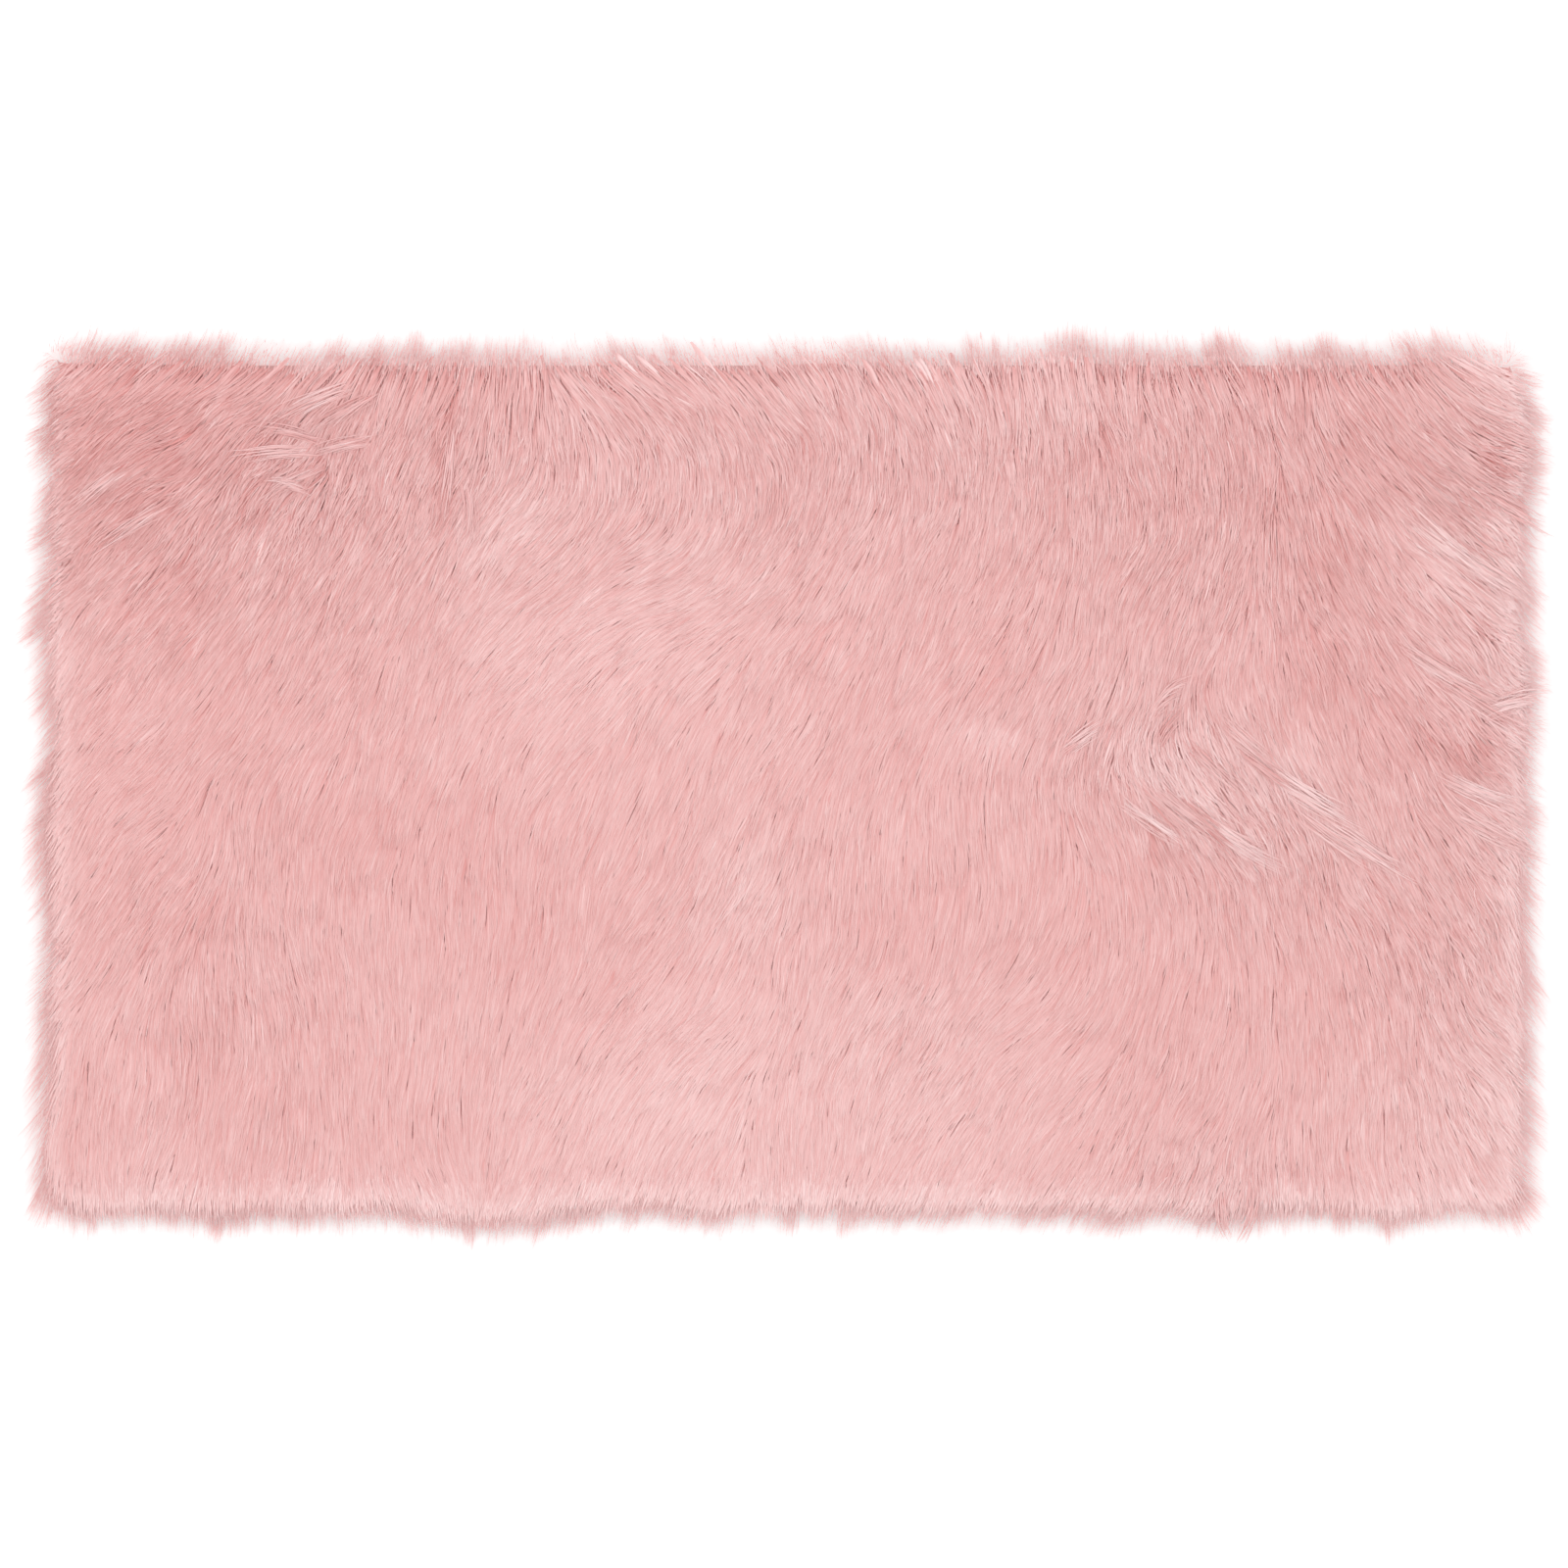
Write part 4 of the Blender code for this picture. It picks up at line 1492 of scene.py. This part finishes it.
@dataclass
class LooseLocks:
    """The longer locks that lie over the rest of the pile here and there.

    Each is a band of fibres, spacing apart on average, gathered at its tip by the share gather. Its length
    is the tussock's own. uneven is how much the fibres' roots differ along the lock, and splay how much
    their headings do, in degrees. arch is where on a half wave the lock starts and how much of it its
    length covers, and round_off how fast it falls to its edges. own_lift holds the least and the most of
    the lift that one fibre has.
    """

    name: str = "loose_locks"
    shape: LockShape = LockShape(
        0.070, 0.00050, 6, length_range=(0.5, 1.4), width_range=(0.5, 1.6), root_depth=0.0022, roll=10.0
    )
    spacing: float = 0.00042
    gather: float = 0.55
    uneven: float = 0.10
    splay: float = 3.0
    lift: float = 0.0028
    own_lift: tuple[float, float] = (0.6, 1.1)
    arch: tuple[float, float] = (0.10, 0.85)
    round_off: float = 1.6
    shrink: float = 0.006
    tone_spread: float = 0.12
    seed: int = SEED + 7

    def paths(self, form: RugForm, tussock: Tussock, rng: np.random.Generator) -> np.ndarray:
        """Lay the fibres of one lock side by side, and gather them towards its tip.

        Args:
            form: The rug's form.
            tussock: The lock.
            rng: The coat's random numbers.

        Returns:
            The points of every fibre, root first.
        """
        count = round(tussock.width / self.spacing)
        share = np.linspace(0.0, 1.0, self.shape.steps + 1)
        across = rng.uniform(-0.5, 0.5, count)
        length = self.shape.lengths(rng, count, tussock.length)
        start = rng.normal(0.0, self.uneven, count) * tussock.length
        heading = tussock.heading + rng.normal(0.0, self.splay, count)[:, None]
        turn = np.radians(heading + tussock.bend * (share[None, :] - 0.5))
        ahead = np.stack([np.cos(turn), np.sin(turn)], axis=-1)
        aside = np.stack([-np.sin(turn), np.cos(turn)], axis=-1)
        along = np.cumsum(ahead * (length / self.shape.steps)[:, None, None], axis=1)
        along += start[:, None, None] * ahead[:, :1]
        apart = across[:, None] * tussock.width * (1.0 - self.gather * share[None, :] ** 1.5)
        flat = np.array([tussock.x, tussock.y]) + along + apart[..., None] * aside
        first, covered = self.arch
        arch = np.sin(math.pi * np.clip(first + covered * share, 0.0, 1.0))[None, :]
        rounded = 1.0 - self.round_off * across[:, None] ** 2
        rise = self.lift * arch * rounded * rng.uniform(*self.own_lift, count)[:, None]
        sunk = self.shape.root_depth * (1.0 - share[None, :]) ** 2
        height = form.height.at(flat + form.outward.at(flat) * self.shrink) + rise - sunk
        return np.concatenate([flat, height[..., None]], axis=-1)

    def build(self, form: RugForm, finish: bpy.types.Material) -> bpy.types.Object:
        """Lay every lock, as one joined mesh.

        Args:
            form: The rug's form.
            finish: The pile's material.

        Returns:
            The piece.
        """
        rng = np.random.default_rng(self.seed)
        laid = [self.paths(form, tussock, rng) for tussock in TUSSOCKS]
        tones = np.concatenate([
            Toning.usual + tussock.tone + rng.normal(0.0, self.tone_spread, len(points))
            for tussock, points in zip(TUSSOCKS, laid)
        ])
        points = np.concatenate(laid)
        count = len(points)
        width = self.shape.half_widths(rng, count)
        lots = rng.uniform(0.0, 1.0, count)
        ribbons = Ribbons(points, width, np.clip(tones, 0.0, 1.0), lots, self.shape, rng)
        mesh = ribbons.mesh(self.name, np.arange(count))
        mesh.materials.append(finish)
        piece = bpy.data.objects.new(self.name, mesh)
        bpy.context.scene.collection.objects.link(piece)
        LOG.info("%s: %d fibres in %d locks", self.name, count, len(TUSSOCKS))
        return piece


@dataclass
class GroundCloth:
    """The knitted ground that the pile is rooted in, and the face that lies on the floor."""

    length: float = 1.438
    width: float = 0.827
    middle: tuple[float, float] = (0.0, 0.0075)
    floor_gap: float = 0.0003
    thickness: float = 0.0015
    corner: float = 0.022
    worn_edge: float = 0.0005
    finish: ClothFinish = ClothFinish()

    def build(self) -> bpy.types.Object:
        """Cut the cloth with rounded corners and give it its thickness."""
        bpy.ops.object.select_all(action="DESELECT")
        bpy.ops.mesh.primitive_plane_add(size=1.0, location=(*self.middle, self.floor_gap))
        cloth = bpy.context.active_object
        cloth.name = cloth.data.name = "ground_cloth"
        bpy.ops.object.mode_set(mode="EDIT")
        bpy.ops.mesh.select_all(action="SELECT")
        bpy.ops.transform.resize(value=(self.length, self.width, 1.0))
        bpy.ops.mesh.bevel(offset=self.corner, segments=6, affect="VERTICES")
        bpy.ops.object.mode_set(mode="OBJECT")
        place_in_mesh(cloth)
        wall = cloth.modifiers.new("thickness", "SOLIDIFY")
        wall.thickness = self.thickness
        wall.offset = 1.0
        edge = cloth.modifiers.new("worn_edge", "BEVEL")
        edge.width = self.worn_edge
        edge.segments = 2
        for modifier in list(cloth.modifiers):
            bpy.ops.object.modifier_apply(modifier=modifier.name)
        cloth.data.materials.append(self.finish.dress("pink_ground_knit"))
        LOG.info("ground_cloth: %.3f x %.3f m", self.length, self.width)
        return cloth


@dataclass
class Underfur:
    """The dense down that the locks rise from, a closed body just under the tips.

    depth is how far below the canopy it lies where the pile is calm and where it is fully ruffled. tucked
    is how far inside the rim's line it ends. shoulder holds how far in its edge starts to round down, and
    by how much it does. lumps are the size and the height of its unevenness. foot is how much its sides
    draw in, in X and in Y, down to the floor gap.
    """

    form: RugForm
    lay: CombedLay
    depth: tuple[float, float] = (0.0004, 0.0036)
    fully_ruffled: float = 1.2
    tucked: float = 0.008
    shrink: float = 0.012
    shoulder: tuple[float, float] = (0.018, 0.0045)
    lumps: tuple[float, float] = (0.012, 0.0006)
    foot: tuple[float, float] = (0.992, 0.988)
    cell: float = 0.010
    margin: float = 0.015
    floor_gap: float = 0.0022
    least_wall: float = 0.002
    finish: UnderfurFinish = UnderfurFinish()

    def build(self) -> bpy.types.Object:
        """Shape a grid to the rug's form and draw its rim down to the ground cloth."""
        half_x, half_y = CAD_BOX[1][0] - self.margin, CAD_BOX[1][1] - self.margin
        bpy.ops.object.select_all(action="DESELECT")
        bpy.ops.mesh.primitive_grid_add(
            x_subdivisions=round(2.0 * half_x / self.cell), y_subdivisions=round(2.0 * half_y / self.cell),
            size=2.0, location=(0.0, 0.0, 0.0),
        )
        down = bpy.context.active_object
        down.name = down.data.name = "underfur"
        bpy.ops.object.mode_set(mode="EDIT")
        bpy.ops.mesh.select_all(action="SELECT")
        bpy.ops.transform.resize(value=(half_x, half_y, 1.0))
        bpy.ops.object.mode_set(mode="OBJECT")
        place_in_mesh(down)
        flat = np.array([vertex.co for vertex in down.data.vertices])[:, :2]
        down.data.vertices.foreach_set("co", self.shaped(flat).ravel())
        self.close(down.data)
        down.data.shade_smooth()
        down.data.materials.append(self.finish.dress("pink_underfur"))
        LOG.info("underfur: %d faces", len(down.data.polygons))
        return down

    def shaped(self, flat: np.ndarray) -> np.ndarray:
        """Draw places in to the underfur's edge and lift them to its top.

        Args:
            flat: X and Y of each place.

        Returns:
            X, Y and Z of each place.
        """
        outward = self.form.outward.at(flat)
        rim = habit_at(outward, "line") + self.tucked
        flat = flat - outward * np.maximum(rim - self.form.inset.at(flat), 0.0)[:, None]
        lump_size, lump_height = self.lumps
        lumps = noise(lump_size, SEED + 3).at(flat, eased=True) * lump_height
        reach, drop = self.shoulder
        shoulder = nearing(self.form.inset.at(flat) - rim, 0.0, reach) * drop
        calm, ruffled = self.depth
        depth = calm + (ruffled - calm) * np.minimum(self.lay.ruffle.at(flat), self.fully_ruffled)
        height = self.form.height.at(flat + outward * self.shrink) - depth - shoulder + lumps
        return np.column_stack([flat, np.maximum(height, self.floor_gap + self.least_wall)])

    def close(self, mesh: bpy.types.Mesh) -> None:
        """Draw the rim down and in, and close it below."""
        body = bmesh.new()
        body.from_mesh(mesh)
        rim = [edge for edge in body.edges if edge.is_boundary]
        made = bmesh.ops.extrude_edge_only(body, edges=rim)["geom"]
        for vertex in (item for item in made if isinstance(item, bmesh.types.BMVert)):
            vertex.co.x *= self.foot[0]
            vertex.co.y *= self.foot[1]
            vertex.co.z = self.floor_gap
        bmesh.ops.holes_fill(body, edges=[edge for edge in body.edges if edge.is_boundary], sides=0)
        bmesh.ops.recalc_face_normals(body, faces=body.faces)
        body.to_mesh(mesh)
        body.free()


def place_in_mesh(piece: bpy.types.Object) -> None:
    """Move an object's place and size into its mesh, so that it sits at the origin."""
    piece.data.transform(piece.matrix_world)
    piece.matrix_world.identity()


@dataclass
class FurRug:
    """The whole rug: ground cloth, underfur and the coats of its pile."""

    node: str = RUG_NODE

    def coats(self) -> list[Coat]:
        """List the coats from the lowest to the topmost."""
        fine = Tufts(spacing=0.0050, pull=0.52, heave=0.00025, tint=0.50, seed=SEED + 101)
        broad = Tufts(spacing=0.026, pull=0.30, heave=0.0004, tint=0.20, seed=SEED + 202)
        spikes = Tufts(spacing=0.013, pull=0.32, heave=0.0003, tint=0.60, seed=SEED + 303)
        down = LockShape(0.042, 0.00209, 3, root_depth=0.0022, tip_lift=-0.0008, turn=9.0)
        lock = LockShape(0.050, 0.00066, 3)
        top_hair = LockShape(0.045, 0.000462, 3, tip_lift=0.0010, turn=11.0)
        rim_lock = LockShape(0.040, 0.000418, 3, root_depth=0.0020, turn=14.0)
        rim_wisp = LockShape(0.045, 0.000132, 3, turn=20.0, bend=24.0)
        stray_hair = LockShape(0.040, 0.000286, 4, tip_lift=0.0018, turn=24.0, bend=44.0)
        return [
            Coat(
                "down_locks", down, 0.0100, SEED + 1, (broad,),
                overhang=(-0.40, 0.25), shrink=0.010, tone_offset=-0.06,
            ),
            Coat(
                "pile_locks", lock, 0.0037, SEED + 2, (fine, broad),
                overhang=(-0.05, 0.40), shrink=0.009, panels=3,
            ),
            Coat(
                "top_hairs", top_hair, 0.0070, SEED + 3, (fine, broad),
                overhang=(0.10, 0.50), shrink=0.008, tone_offset=0.12,
            ),
            # The rim locks are painted paler, mostly as painted light against the shade of the strip that
            # they cover at the rim.
            Coat(
                "rim_locks", rim_lock, 0.0029, SEED + 4, (spikes,),
                at_rim=True, band=(-0.008, 0.022), overhang=(0.05, 0.60), stretch=1.4,
                shrink=0.008, droop=0.008, sink=0.0010, tone_offset=0.12,
            ),
            Coat(
                "rim_wisps", rim_wisp, 0.0019, SEED + 5, (spikes,),
                at_rim=True, band=(-0.014, 0.016), overhang=(0.30, 1.00), stretch=1.6,
                shrink=0.004, sink=0.0040, tone_offset=0.16, panels=2,
            ),
            Coat(
                "stray_hairs", stray_hair, 0.0150, SEED + 6, (broad,),
                overhang=(-0.60, 0.50), tone_offset=0.15,
            ),
        ]

    def build(self) -> list[bpy.types.Object]:
        """Build every piece and tie it to the rug's body.

        Returns:
            All the pieces.
        """
        form = RugForm(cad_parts[self.node])
        LOG.info("form read from %s", self.node)
        lay = CombedLay(form)
        rim_lay = CombedLay(form, at_rim=True)
        colour, grain = pile_colour_effect(), fibre_grain_effect()
        pile = PileFinish().dress("pink_pile", colour, grain)
        ground = GroundCloth()
        cloth = ground.build()
        down = Underfur(form, lay).build()
        pieces = [down]
        for coat in self.coats():
            pieces += coat.build(form, rim_lay if coat.at_rim else lay, pile)
        pieces.append(LooseLocks().build(form, pile))
        for piece in [cloth, *pieces]:
            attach(piece, RUG_BODY)
            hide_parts(self.node)
        return [cloth, *pieces]


@dataclass
class Studio:
    """The plain pale floor, the soft light and the camera straight above."""

    frame_width: float = 1.561
    centre: tuple[float, float] = (-0.001, 0.0024)
    camera_height: float = 4.0
    aim_height: float = 0.020
    sensor: float = 36.0
    floor_size: float = 8.0
    floor_level: float = -0.0005
    floor_colour: Colour = (0.93, 0.93, 0.93, 1.0)
    floor_roughness: float = 0.9
    floor_glow: float = 0.15
    white: Colour = (1.0, 1.0, 1.0, 1.0)
    world_strength: float = 1.02
    key_energy: float = 5.0
    key_size: tuple[float, float] = (2.2, 1.6)
    key_place: tuple[float, float, float] = (-1.4, 1.5, 2.4)

    def floor(self) -> None:
        """Lay the floor."""
        bpy.ops.object.select_all(action="DESELECT")
        bpy.ops.mesh.primitive_plane_add(size=self.floor_size, location=(0.0, 0.0, self.floor_level))
        floor = bpy.context.active_object
        floor.name = "floor"
        material, _, shader = new_material("white_floor")
        shader.inputs["Base Color"].default_value = self.floor_colour
        shader.inputs["Roughness"].default_value = self.floor_roughness
        shader.inputs["Emission Color"].default_value = self.white
        shader.inputs["Emission Strength"].default_value = self.floor_glow
        floor.data.materials.append(material)

    def lights(self) -> None:
        """Hang one broad soft light to the upper left, in a bright even room."""
        world = bpy.data.worlds.new("bright_room")
        world.use_nodes = True
        background = world.node_tree.nodes["Background"]
        background.inputs[0].default_value = self.white
        background.inputs[1].default_value = self.world_strength
        bpy.context.scene.world = world
        light = bpy.data.lights.new("key", "AREA")
        light.shape = "RECTANGLE"
        light.size, light.size_y = self.key_size
        light.energy = self.key_energy
        key = bpy.data.objects.new("key", light)
        key.location = self.key_place
        key.rotation_euler = (-key.location).to_track_quat("-Z", "Y").to_euler()
        bpy.context.scene.collection.objects.link(key)

    def camera(self) -> None:
        """Set the camera straight above the rug, framed on its whole length."""
        data = bpy.data.cameras.new("camera")
        data.sensor_width = self.sensor
        data.lens = self.sensor * (self.camera_height - self.aim_height) / self.frame_width
        camera = bpy.data.objects.new("camera", data)
        camera.location = (*self.centre, self.camera_height)
        bpy.context.scene.collection.objects.link(camera)
        bpy.context.scene.camera = camera
        bpy.context.scene.view_settings.view_transform = "Standard"

    def build(self) -> None:
        """Set up the floor, the lights and the camera."""
        self.floor()
        self.lights()
        self.camera()


def main() -> None:
    """Build the studio and the rug, and report each piece."""
    logging.basicConfig(level=logging.INFO, format="%(name)s: %(message)s")
    Studio().build()
    pieces = FurRug().build()
    LOG.info("%d pieces built", len(pieces))


if __name__ == "__main__":
    main()
